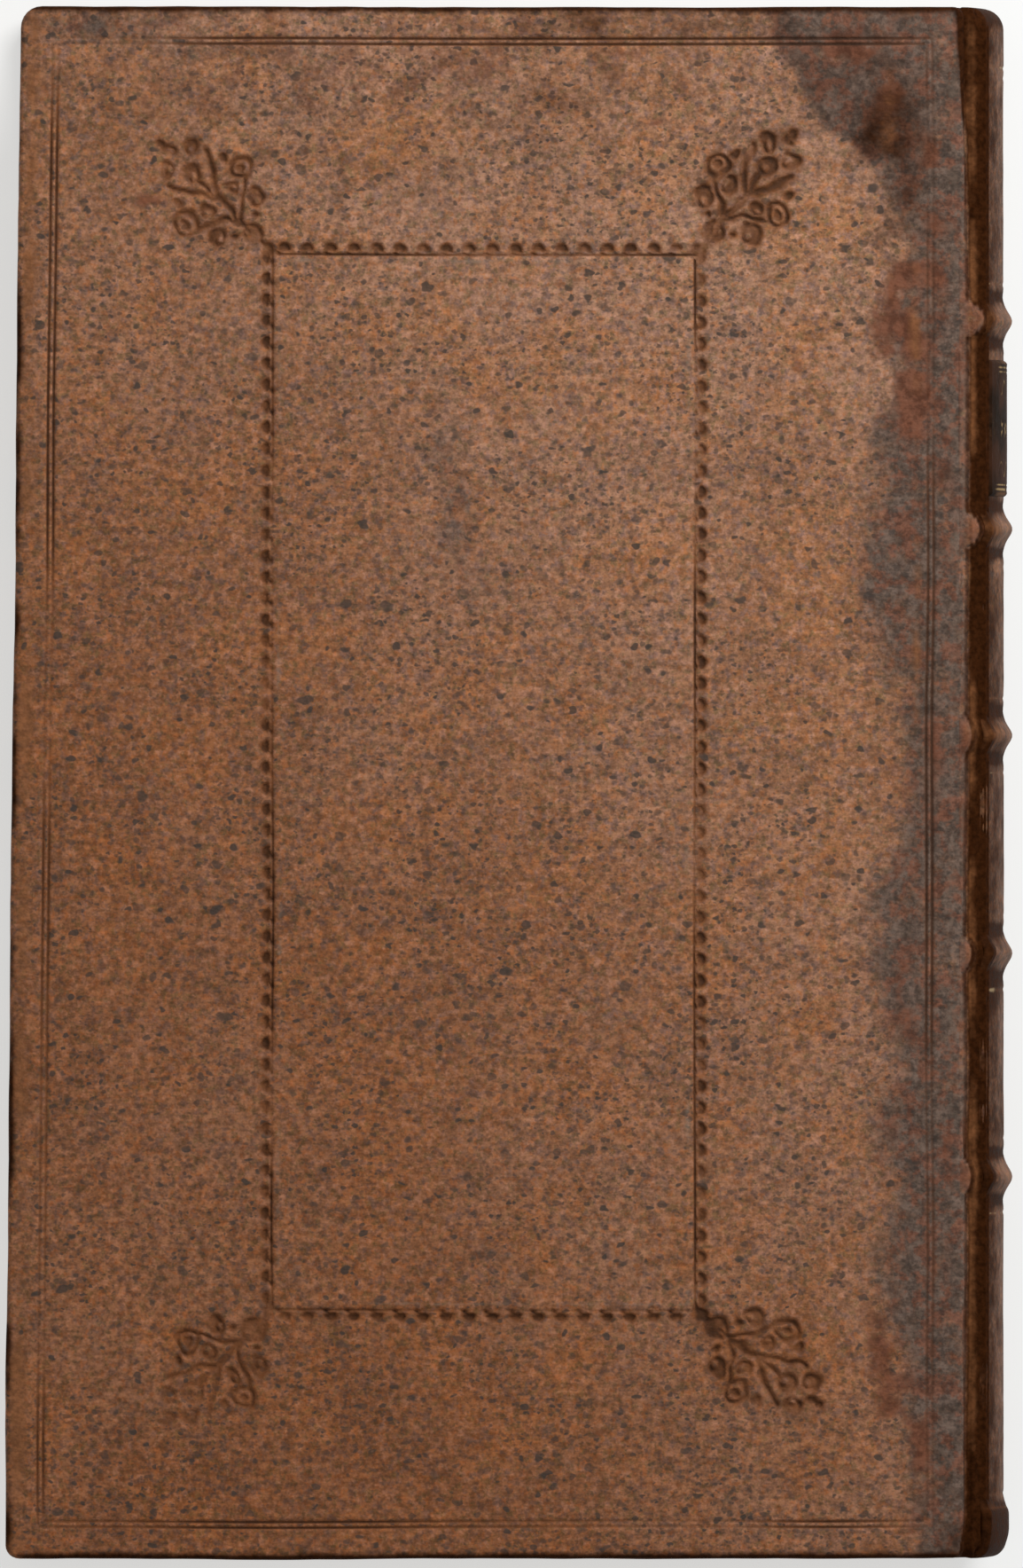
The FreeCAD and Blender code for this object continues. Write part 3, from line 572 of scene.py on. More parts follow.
def edge_wear(x, y, drop, seed):
    """Worn leather along the edges."""
    from_fore, from_end = x - fore_edge_x(y), HEAD_Y - abs(y)
    fore = hill(from_fore - 1.5, 1.4)
    ends = hill(from_end - 1.1, 0.9) * 0.45
    corners = hill(np.hypot(from_fore, from_end), 5) * 0.8
    patchy = 0.65 + 0.6 * rough(x + drop, y, 7, seed + 41)
    wear = np.maximum.reduce([fore, ends, corners]) * patchy * smooth(edge_distance(x, y) / 0.9)
    orange = patches(x, y, ORANGE_PATCHES) * (0.7 + 0.5 * rough(x, y, 2.5, seed + 42))
    side = smooth((drop - 0.5) / 0.6) * smooth(0.35 + 0.9 * rough(x + 3 * drop, y, 6, seed + 43))
    return np.maximum.reduce([wear, orange, 0.8 * side])


def place_cover(x, y, drop, side):
    """Points of a cover, from their drop."""
    return np.column_stack([x, y, THICKNESS - drop if side == "back" else drop])


def cover_faces(side, rings, scatter):
    """Faces of the closed skin round a board."""
    count = len(rings[0])
    last = count * (len(rings) - 1)
    flat = [Vector(point) for point in np.vstack([rings[0], scatter])]
    _, _, triangles, originals, _, _ = delaunay_2d_cdt(flat, [], [list(range(count))], 1, 1e-6)
    number = [found[0] + (last if found[0] >= count else 0) for found in originals]
    faces = [[number[i] for i in triangle] for triangle in triangles]
    if side == "front":
        faces = [face[::-1] for face in faces]
    faces += grid_faces(len(rings), count, closed=True, flip=side == "back")
    cap = list(range(last, last + count))
    faces.append(cap[::-1] if side == "back" else cap)
    return faces


def make_cover(side, material, seed):
    """Leather round one board."""
    section = cover_section()
    rings = [cover_ring(inset, joint_inset) for inset, joint_inset, _ in section]
    count = len(rings[0])
    scatter = face_points(seed)
    x, y = np.vstack(rings + [scatter]).T
    insets, _, drops = np.array(section).T
    drop = np.concatenate([np.repeat(drops, count), np.zeros(len(scatter))])
    inset = np.concatenate([np.repeat(insets, count), edge_distance(*scatter.T)])
    outside, inside = drop < LEATHER, drop > COVER_DEPTH - 0.5
    hidden = slice(count * (len(rings) - 2), count * len(rings))

    rise, in_line, brown_and_shadow, ridge = relief(x, y, seed)
    fade = smooth(inset / 1.6) * outside
    level = drop - rise * fade - 0.05 * rough(x + drop, y, 5, seed + 3) * (1 - fade)
    level[hidden] = drop[hidden]
    loose = 0.05 * smooth(1.6 - inset / 2.4)
    loose[hidden] = 0
    moved_x = x + 0.16 * noise(x, y, 21, seed + 51) + loose * noise(x, y + 2 * drop, 3.5, seed + 53)
    moved_y = y + 0.16 * noise(x, y, 23, seed + 52) + loose * noise(x + 2 * drop, y, 3.5, seed + 54)
    points = place_cover(moved_x, moved_y, level, side)

    grey, red, dark, dust = cover_stains(x, y, np.where(outside, inset, 9), seed, side == "back")
    grey = np.where(outside, grey, 0.4 * grey)
    seams = 0.9 * inside * mitre_columns(len(x), count)
    dark = np.maximum.reduce([dark, 0.35 * smooth((drop - 2.4) / 1.2), seams])
    # Painted highlight: the panel's ridge made paler through the dust level.
    dust = np.maximum(dust, 0.55 * ridge * outside)
    # The tooled level holds the lines' and tools' own dark and the tools' painted shadow.
    tooled_and_shadow = np.maximum(0.9 * in_line, brown_and_shadow) * outside
    worn = np.where(inside, 0.25, edge_wear(x, y, drop, seed))
    cover = make_leather(
        f"{side}_cover_leather", points, cover_faces(side, rings, scatter), material,
        (grey, red, dark, dust), (tooled_and_shadow, worn, 0, smooth((drop - 1.0) / 1.5)),
    )
    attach(cover, f"{side}_cover")
    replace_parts(cover, f"{side}_leather")


# Joints

STRIP_START, STRIP_END = JOINT_X - 1.2, 61.25
STRIP_MARGIN = 0.12
STRIP_ROWS, STRIP_COLUMNS = 330, 44
GROOVE_X, GROOVE_DROP = 58.9, 2.35
CREASE_X = 59.3
RIDGE_X = 59.05
FAR_WALL_X = 60.3
# How far each band pushes the joint, from the head
NUB_REACH = (2.4, 1.8, 0.9, 1.1, 1.0)
# Edge of the board leather beside the cover's own edge, as pairs of y and distance
STRIP_EDGE = ((-99, -0.9), (-94, -0.2), (-60, 0.15), (-20, 0.1), (20, 0.3), (45, 0.35), (62, 0.45), (80, 0.0),
              (92, -0.7), (99, -1.2))


def band_hills(y, width):
    """Sum of a bump at each raised band."""
    return sum(hill(y - centre, width) for centre in BAND_CENTRES)


def joint_edge(y, seed):
    """Where the board leather turns down into the joint."""
    edge_y, edge_x = np.array(STRIP_EDGE).T
    edge = JOINT_X + np.interp(y, edge_y, edge_x) + 0.12 * noise(y, y * 0, 7, seed + 61)
    for centre, reach in zip(BAND_CENTRES, NUB_REACH):
        edge = edge + reach * np.clip(1 - ((y - centre) / 2.3) ** 2, 0, 1) ** 0.8
    return edge


def joint_drop(x, y, beyond, seed):
    """Depth of the joint's leather."""
    drop = 0.5 * smooth((beyond + 1.1) / 1.3) + 0.95 * smooth((beyond + 0.35) / 1.2)
    drop += (GROOVE_DROP - 1.45) * smooth((x - GROOVE_X) / 1.9)
    drop -= 0.16 * hill(x - CREASE_X - 0.1 * noise(y, x * 0, 9, seed + 62), 0.35)
    drop -= 0.3 * band_hills(y, 1.6) * smooth((x - GROOVE_X + 0.5) / 1.6)
    drop += 0.9 * smooth((x - STRIP_END + 0.5) / 0.5)
    drop += 0.07 * rough(x, y, 4, seed + 63) * smooth((x - JOINT_X) / 0.8)
    tuck = smooth((JOINT_X - 0.55 - x) / 0.45)
    drop = drop * (1 - tuck) + 0.14 * tuck - 0.03 * (1 - tuck) * smooth((JOINT_X + 0.2 - x) / 0.4)
    return drop + 1.1 * (1 - smooth((HEAD_Y - abs(y)) / 1.7)) ** 2


def joint_levels(x, y, beyond, seed):
    """Stains and marks of the joint's leather, with painted shade in the groove and painted shadow at the
    bands.
    """
    grain = Grain(x, y, seed)
    knob = band_hills(y, 2.2) * smooth((x - JOINT_X) / 0.8)
    grey = np.where((beyond < 0.2) | (x > FAR_WALL_X), 0.75 - 0.5 * knob, 0.0) + 0.2 * grain.rough(4, 64)
    red = 0.25 + 0.3 * grain.rough(6, 66) + 0.5 * band_hills(y, 1.9) * hill(beyond + 0.3, 1.3)
    # Dark in the groove: the leather's own dark dye with painted shade where the leather falls away from the
    # light.
    dark = 0.55 * smooth((beyond + 0.7) / 0.7) + 0.45 * smooth((beyond - 0.1) / 0.9)
    dark -= 0.4 * band_hills(y, 1.7) * hill(beyond + 0.7, 0.6)
    # Painted shadow: a dark tip beside the board's edge at each band.
    dark += 0.4 * band_hills(y, 2.6) * hill(beyond + 0.1, 0.3)
    ridge = hill(x - RIDGE_X - 0.25 * noise(y, x * 0, 14, seed + 67), 0.95)
    ridge = ridge * smooth(0.7 + grain.rough(9, 65)) * smooth((y + 93) / 3)
    worn = 0.56 * ridge * smooth((beyond - 0.1) / 0.6) + 0.4 * band_hills(y, 2.0) * hill(beyond + 0.8, 1.0)
    worn += 0.18 * hill(beyond - 0.15, 0.5) * smooth(0.6 + grain.rough(5, 68))
    return (grey, red, dark, 0.25 * hill(beyond + 0.35, 0.4)), (0, worn, 0, smooth((beyond + 0.3) / 0.8))


def make_joint(side, material, seed):
    """Leather of one joint."""
    reach = HEAD_Y - STRIP_MARGIN
    y, x = lattice(np.linspace(-reach, reach, STRIP_ROWS), np.linspace(STRIP_START, STRIP_END, STRIP_COLUMNS))
    beyond = x - joint_edge(y, seed)
    pull = (1 - smooth((HEAD_Y - abs(y)) / 2.8)) * smooth((x - GROOVE_X - 0.1) / 1.8)
    drop = joint_drop(x, y, beyond, seed)
    points = place_cover(x - 1.1 * pull, y - 0.5 * pull * np.sign(y), drop, side)
    faces = grid_faces(STRIP_ROWS, STRIP_COLUMNS, flip=side == "front")
    strip = make_leather(f"{side}_joint_leather", points, faces, material, *joint_levels(x, y, beyond, seed))
    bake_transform(strip)


# Spine

FILLETS = (91.4, 90.3, -90.9, -92.5) + tuple(
    centre + side * FILLET_FROM_BAND for centre in BAND_CENTRES for side in (-1, 1)
)


def cap_point(size, angle):
    """Radius and height of a point of a cap."""
    return SPINE_RADIUS - size * (1 - math.sin(angle)), HEAD_Y - size * (1 - math.cos(angle))


def spine_profile():
    """Radius and y along the spine leather, from head to tail."""
    inner = SPINE_RADIUS - CAP_DEPTH
    head = [cap_point(HEAD_CAP, angle) for angle in np.radians(np.arange(0, 91, 11.25))]
    tail = [cap_point(TAIL_CAP, angle) for angle in np.radians(np.arange(90, -1, -15))]
    body = np.linspace(HEAD_Y - HEAD_CAP, TAIL_CAP - HEAD_Y, 470)[1:-1]
    profile = [(inner, HEAD_Y - LEATHER), (inner, HEAD_Y - 0.25)] + head
    profile += [(SPINE_RADIUS, y) for y in body] + [(radius, -y) for radius, y in tail]
    return np.array(profile + [(inner, 0.25 - HEAD_Y), (inner, LEATHER - HEAD_Y)])


def spine_points(radius, angle, y):
    """Points on the round of the spine."""
    return np.column_stack([SPINE_X + radius * np.cos(angle), y, MIDDLE_Z + radius * np.sin(angle)])


def make_spine(material, seed):
    """Leather over the spine, with bands, lines and caps, and painted shade towards the joints."""
    profile = spine_profile()
    shares = np.sin(np.linspace(-1, 1, SPINE_COLUMNS) * math.pi / 2)
    radius, share = lattice(profile[:, 0], shares)
    y, _ = lattice(profile[:, 1], shares)
    arc = share * SHOULDER_ANGLE * SPINE_RADIUS
    grain = Grain(arc, y, seed)
    on_cap = smooth((abs(y) - HEAD_Y + 3.0) / 2.4)
    angle = share * (SHOULDER_ANGLE - math.radians(0.7) * on_cap)
    body = smooth((HEAD_Y - HEAD_CAP - abs(y)) / 1.5)
    bands = band_hills(y + 0.25 * grain.even(9, 1), BAND_SPREAD)
    nips = sum(hill(abs(y - centre) - 3.0, 0.7) for centre in BAND_CENTRES)
    lines = body * sum(hill(y - line - 0.06 * grain.even(6, 2), 0.24) for line in FILLETS)
    tail = smooth((TAIL_BULGE_Y - y) / 2.4)
    height = BAND_HEIGHT * bands * (1 - 0.12 * abs(share) ** 6) - 0.12 * nips - 0.1 * lines
    height += 0.1 * grain.rough(13, 3) * body + 0.035 * grain.rough(2.6, 4)
    height -= 0.6 * smooth((abs(share) - 0.955) / 0.045)
    height += TAIL_BULGE * tail * smooth((y + HEAD_Y) / 3.5)
    points = spine_points(radius + height, angle, y)

    worn = band_hills(y, 1.3) * (0.75 + 0.4 * grain.even(3, 5))
    side = smooth((abs(share) - 0.45) / 0.45)
    rim = smooth((abs(share) - 0.87) / 0.07)
    # Darker towards the joints: the leather's own dye with painted shade on the steep sides, and painted
    # shadow at the bands' ends beside the joints.
    dark = 0.5 + 0.14 * side + 0.45 * nips - 0.2 * worn + 0.6 * rim * band_hills(y, 2.6) + 0.5 * tail
    dark = dark + 0.1 * grain.rough(9, 6) + 0.3 * smooth((abs(y) - HEAD_Y + 3.2) / 2)
    grey = 0.32 - 0.2 * side + 0.2 * grain.rough(12, 7)
    red = 0.2 + 0.25 * grain.rough(7, 8)
    dust = 0.08 + 0.25 * worn + 0.1 * grain.rough(4, 9) + 0.9 * lines * side
    gilt = lines * smooth(0.35 + 0.8 * grain.rough(3.5, 10)) * (1 - smooth((abs(share) - 0.8) / 0.12))
    rubbed = 0.3 * worn + 0.3 * side * smooth(0.45 + 0.9 * grain.rough(5, 11))
    spine = make_leather(
        "spine_cover_leather", points, grid_faces(len(profile), SPINE_COLUMNS), material,
        (grey, red, dark, dust), (0.4 * lines, rubbed, gilt, 0.4),
    )
    thicken(spine, LEATHER * 0.8)
    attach(spine, "book_block")
    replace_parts(spine, "spine_leather")


def label_gilding(along, across, half_along, half_across):
    """Gilt of the label: double rules, waves and flowers, no letters."""
    edge = np.minimum(half_along - abs(along), half_across - abs(across))
    rules = np.maximum(hill(edge - 0.9, 0.2), hill(edge - 1.5, 0.13))
    wave = hill(abs(across) - 5.2 - 0.9 * np.sin(along * 1.25), 0.2) * (abs(along) < half_along - 3)
    cell = ((along / FLOWER_PITCH) % 1 - 0.5) * FLOWER_PITCH
    petals = np.hypot(cell, across) - 0.9 - 0.35 * np.cos(5 * np.arctan2(across, cell))
    flowers = smooth(0.5 - petals / 0.25) * (abs(along) < half_along - 5.5)
    inner = smooth(0.5 - (np.hypot(cell, across) - 0.3) / 0.2)
    return np.clip(rules + wave + flowers * (1 - inner), 0, 1)


def make_label(material, seed):
    """Thin leather label on the spine."""
    heights = np.linspace(LABEL_LOW[1], LABEL_HIGH[1], LABEL_ROWS)
    y, angle = lattice(heights, np.linspace(-LABEL_HALF_ANGLE, LABEL_HALF_ANGLE, LABEL_COLUMNS))
    arc, half_arc = angle * SPINE_RADIUS, LABEL_HALF_ANGLE * SPINE_RADIUS
    across, half_y = y - (LABEL_LOW[1] + LABEL_HIGH[1]) / 2, (LABEL_HIGH[1] - LABEL_LOW[1]) / 2
    edge = np.minimum(half_arc - abs(arc), half_y - abs(across))
    gilt = label_gilding(arc, across, half_arc, half_y)
    rubbed = 1 - 0.6 * smooth((abs(arc) / half_arc - 0.72) / 0.2)
    worn = smooth(0.45 + 0.9 * rough(arc, y, 4, seed)) * rubbed
    height = LABEL_THICKNESS * smooth(edge / 0.45 + 0.25) - 0.05 * gilt
    height += 0.04 * rough(arc, y, 5, seed + 1)
    label = make_leather(
        "spine_title_label", spine_points(SPINE_RADIUS + height, angle, y),
        grid_faces(LABEL_ROWS, LABEL_COLUMNS, flip=True), material,
        (0, 0, 0, 0.6 * hill(edge, 0.35)), (0, hill(edge - 0.2, 0.4) * worn, gilt * worn, 0),
    )
    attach(label, "book_block")
    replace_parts(label, "spine_label")


# Pages

LEAVES = 150
GATHERING = 8
FORE_HOLLOW = 2.4
HOLLOW_RADIUS = (PAGES_HALF ** 2 + FORE_HOLLOW ** 2) / (2 * FORE_HOLLOW)


def page_point(page, share, t, seed):
    """Point of a page from -1 to 1, at a share from fore-edge to spine and t from tail to head."""
    fore_x = np.sqrt(HOLLOW_RADIUS ** 2 - (page * PAGES_HALF) ** 2) - HOLLOW_RADIUS
    fore_x = BLOCK_LOW[0] + FORE_HOLLOW + fore_x
    back_x = SPINE_X + np.sqrt(PAGES_RADIUS ** 2 - (page * SHOULDER_HALF) ** 2)
    fan = smooth((share - 0.93) / 0.07)
    z = page * (PAGES_HALF + (SHOULDER_HALF - PAGES_HALF) * fan)
    leaf = np.floor((page + 1) / 2 * LEAVES)
    inner = smooth((1 - abs(page)) * 40)
    ragged = abs(noise(leaf * 7.1, t * 3, 1, seed))
    ragged = 0.22 * (ragged + abs(noise(np.floor(leaf / GATHERING) * 5.3, t * 2, 1, seed + 1)))
    short = 0.2 * abs(noise(leaf * 6.7, share * 5, 1, seed + 2)) * inner
    x = fore_x + share * (back_x - fore_x) + ragged * (1 - share) ** 30 * inner
    y = t * (PAGE_HEAD_Y - short * abs(t) ** 200)
    return np.column_stack(np.broadcast_arrays(x, y, MIDDLE_Z + z))


def make_pages(material, seed):
    """Text block as a closed solid."""
    pages = np.linspace(-1, 1, 2 * LEAVES + 1)
    shares = np.concatenate([[0, 0.003, 0.02], np.linspace(0.08, 0.92, 12), np.linspace(0.94, 1, 6)])
    heights = np.concatenate([[-1, -0.995], np.linspace(-0.97, 0.97, 26), [0.995, 1]])
    points, faces, cut = [], [], []

    def add_patch(first, second, build, flip, leaves=1.0):
        u, v = lattice(first, second)
        start = sum(len(found) for found in points)
        points.append(build(u, v))
        cut.append(np.full(u.size, leaves))
        faces.extend(grid_faces(len(first), len(second), start, flip=flip))

    for end in (-1, 1):
        add_patch(pages, heights, lambda u, v: page_point(u, (end + 1) / 2, v, seed), end < 0)
        add_patch(pages, shares, lambda u, v: page_point(u, v, end, seed), end > 0)
        add_patch(shares, heights, lambda u, v: page_point(end, u, v, seed), end > 0, 0.0)
    block = make_object("page_block", np.vstack(points), faces, material, cut=np.concatenate(cut))
    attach(block, "book_block")
    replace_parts(block, "text_block")
    weld(block)


WINDINGS = 74
WINDING_STEPS, THREAD_SIDES = 5, 14


def make_endband(name, end, material):
    """Endband with its thread wound over a core."""
    half = ENDBAND_HALF_ANGLE
    angles = np.linspace(-half, half, WINDINGS * WINDING_STEPS + 1)
    a, b = lattice(angles, np.linspace(0, 2 * math.pi, THREAD_SIDES, endpoint=False))
    phase = (a + half) / (2 * half) * WINDINGS + b / (2 * math.pi)
    radius = ENDBAND_RADIUS * (0.84 + 0.15 * abs(np.sin(phase * math.pi)))
    points = spine_points(ENDBAND_CIRCLE + radius * np.cos(b), a, end * (ENDBAND_Y + radius * np.sin(b)))
    faces = grid_faces(len(angles), THREAD_SIDES, closed=True, flip=end < 0)
    faces.append(list(range(THREAD_SIDES)))
    faces.append(list(range(len(points) - THREAD_SIDES, len(points)))[::-1])
    band = make_object(name, points, faces, material, thread=np.floor(phase / 2) % 2)
    weld(band)
    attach(band, "book_block")
    return band


# Materials


class Surface:
    """Node tree of one material."""

    def __init__(self, name):
        self.material = bpy.data.materials.new(name)
        self.material.use_nodes = True
        self.tree = self.material.node_tree
        self.shader = self.tree.nodes["Principled BSDF"]

    def put(self, socket, value):
        """Link an output to a socket, or set the socket's own value."""
        if isinstance(value, bpy.types.NodeSocket):
            self.tree.links.new(value, socket)
        elif isinstance(value, tuple) and socket.type == "RGBA":
            socket.default_value = (*value, 1)
        else:
            socket.default_value = value

    def node(self, kind, inputs, **settings):
        """Outputs of a new node."""
        made = self.tree.nodes.new("ShaderNode" + kind)
        for key, value in settings.items():
            setattr(made, key, value)
        for key, value in inputs.items():
            self.put(made.inputs[key], value)
        return made.outputs

    def attribute(self, name):
        return self.node("Attribute", {}, attribute_name=name)

    def rest(self):
        """Rest positions in millimetres."""
        return self.attribute("rest")["Vector"]

    def levels(self, name):
        """The four levels of a colour attribute."""
        found = self.attribute(name)
        return *self.node("SeparateColor", {"Color": found["Color"]})[:3], found["Alpha"]

    def on_solid(self):
        """Positions in millimetres on a solid."""
        return self.scale(self.node("TexCoord", {})["Object"], 1 / MM, 1 / MM, 1 / MM)

    def math(self, operation, *values):
        return self.node("Math", dict(enumerate(values)), operation=operation)[0]

    def plus(self, first, second):
        return self.math("ADD", first, second)

    def times(self, first, second):
        return self.math("MULTIPLY", first, second)

    def vector(self, operation, first, second):
        return self.node("VectorMath", {0: first, 1: second}, operation=operation)

    def scale(self, vector, x, y, z):
        return self.vector("MULTIPLY", vector, (x, y, z))[0]

    def noise(self, vector, size, detail=2.0, roughness=0.5, distortion=0.0):
        inputs = {"Vector": vector, "Scale": 1 / size, "Detail": detail, "Roughness": roughness}
        return self.node("TexNoise", {**inputs, "Distortion": distortion})["Fac"]

    def cells(self, vector, size, feature="F1"):
        return self.node("TexVoronoi", {"Vector": vector, "Scale": 1 / size}, feature=feature)

    def waves(self, vector, scale, distortion, direction):
        inputs = {"Vector": vector, "Scale": scale, "Distortion": distortion}
        return self.node("TexWave", inputs, bands_direction=direction)["Fac"]

    def spread(self, value, low, high, to_low, to_high, **settings):
        """Carry a value from one range to another."""
        inputs = {"Value": value, "From Min": low, "From Max": high, "To Min": to_low, "To Max": to_high}
        return self.node("MapRange", inputs, **settings)[0]

    def steps(self, value, low, high, to_low=0.0, to_high=1.0):
        """Smooth change of a value between two levels."""
        return self.spread(value, low, high, to_low, to_high, interpolation_type="SMOOTHSTEP")

    def mix(self, share, first, second, blend="MIX"):
        inputs = {0: share, MIX_FIRST: first, MIX_SECOND: second}
        return self.node("Mix", inputs, data_type="RGBA", blend_type=blend)[MIX_RESULT]

    def lay(self, color, over, value, low, high, most=1.0):
        """Lay another colour over a colour where a value is high."""
        return self.mix(self.steps(value, low, high, 0.0, most), color, over)

    def shade(self, color, value, low, high):
        """Multiply a colour by low to high, by a value."""
        return self.vector("MULTIPLY", color, self.spread(value, 0.0, 1.0, low, high))[0]

    def bump(self, height, distance, strength, before=None):
        inputs = {"Height": height, "Distance": distance, "Strength": strength}
        if before is not None:
            inputs["Normal"] = before
        return self.node("Bump", inputs)[0]

    def finish(self, color, roughness, gloss=0.5, **inputs):
        """Fill the shader's sockets and give back the material."""
        self.put(self.shader.inputs["Base Color"], color)
        self.put(self.shader.inputs["Roughness"], roughness)
        self.put(self.shader.inputs["Specular IOR Level"], gloss)
        for key, value in inputs.items():
            self.put(self.shader.inputs[key.replace("_", " ")], value)
        return self.material


# Sockets of the colour mix
MIX_FIRST, MIX_SECOND, MIX_RESULT = 6, 7, 2
# How fast the calf turns browner towards the fore-edge and the tail, per millimetre: painted shade, as the
# light falls off away from the corner at the head and the joint
FALLOFF_SLOPE = (-0.0048, -0.0040, 0.0)
# Colour, patch size, the two noise levels and the share of each tint of the calf
TINTS = (
    ((0.17, 0.105, 0.043), 0.95, 0.48, 0.66, 0.64),
    ((0.46, 0.218, 0.14), 0.8, 0.48, 0.68, 0.6),
    ((0.16, 0.098, 0.088), 1.3, 0.5, 0.68, 0.55),
    ((0.41, 0.138, 0.046), 0.9, 0.5, 0.68, 0.62),
)
# Cell size, smallest and largest radius, share of the cells and softness of the drops and the foxing
FINEST_DROPS = (0.6, 0.11, 0.23, 0.9, 0.08)
FINE_DROPS = (0.98, 0.16, 0.36, 0.85, 0.09)
LARGE_DROPS = ((1.75, 0.26, 0.52, 0.8, 0.11), (4.4, 0.4, 0.8, 0.5, 0.16))
FOXING = (7.5, 0.3, 1.0, 0.3, 0.5)


def wobbled(s, at, size, reach):
    """Positions bent a little, for uneven drops."""
    wobble = s.node("TexNoise", {"Vector": at, "Scale": 1 / size, "Detail": 0.0})["Color"]
    bent = s.scale(s.vector("ADD", wobble, (-0.5, -0.5, -0.5))[0], reach, reach, reach)
    return s.vector("ADD", at, bent)[0]


def speckles(s, at, size, smallest, largest, share, soft):
    """Dots of random radius in a share of the cells."""
    cell = s.cells(at, size)
    pick = s.node("SeparateColor", {"Color": cell["Color"]})
    radius = s.spread(pick[0], 1 - share, 1.0, smallest, largest, clamp=False)
    dot = s.steps(s.math("SUBTRACT", radius, s.times(cell["Distance"], size)), -soft, soft)
    return s.times(dot, s.steps(pick[1], 0.0, 1.0, 0.62, 1.0))


def calf_ground(s, at, patchy, fine):
    """Mottled brown of the plain calf, with painted shade darkening it towards the fore-edge and the tail."""
    fibre = s.noise(s.scale(at, 0.45, 1.6, 1.6), 1.0, 2, 0.6)
    color = s.lay((0.31, 0.13, 0.061), (0.384, 0.184, 0.104), s.noise(at, 46, 2, 0.55), 0.36, 0.64)
    color = s.lay(color, (0.343, 0.139, 0.057), patchy, 0.42, 0.72)
    for index, (tint, size, low, high, share) in enumerate(TINTS):
        moved = s.vector("ADD", at, (31.0 * index, 17.0, 5.0 * index))[0]
        color = s.lay(color, tint, s.noise(moved, size, 2, 0.65), low, high, share)
    color = s.shade(color, s.steps(patchy, 0.2, 0.8), 0.9, 1.12)
    color = s.shade(color, s.steps(fine, 0.28, 0.72), 0.68, 1.34)
    color = s.shade(color, s.steps(fibre, 0.25, 0.75), 0.88, 1.12)
    # Painted shade: darker and browner towards the fore-edge and the tail, with random patches.
    across = s.plus(s.vector("DOT_PRODUCT", at, FALLOFF_SLOPE)["Value"], s.times(patchy, 0.5))
    falloff_shade_and_patches = s.lay((0.9, 0.98, 1.05), (0.68, 0.6, 0.51), across, -0.25, 0.75)
    return s.mix(1.0, color, falloff_shade_and_patches, "MULTIPLY")


def calf_drops(s, at, plain):
    """Sprinkled drops of four sizes; the two finest fade in patches."""
    few = s.steps(s.noise(at, 17, 1, 0.65), 0.36, 0.62, 0.35, 1.0)
    flat = s.scale(at, 0.85, 1.1, 1.0)
    close, wide = wobbled(s, flat, 0.4, 0.45), wobbled(s, flat, 0.9, 0.95)
    drops = s.times(speckles(s, close, *FINEST_DROPS), 0.55)
    drops = s.times(s.math("MAXIMUM", drops, speckles(s, close, *FINE_DROPS)), few)
    for large in LARGE_DROPS:
        drops = s.math("MAXIMUM", drops, speckles(s, wide, *large))
    return s.times(drops, s.steps(plain, 0.0, 1.0, 0.86, 0.2))


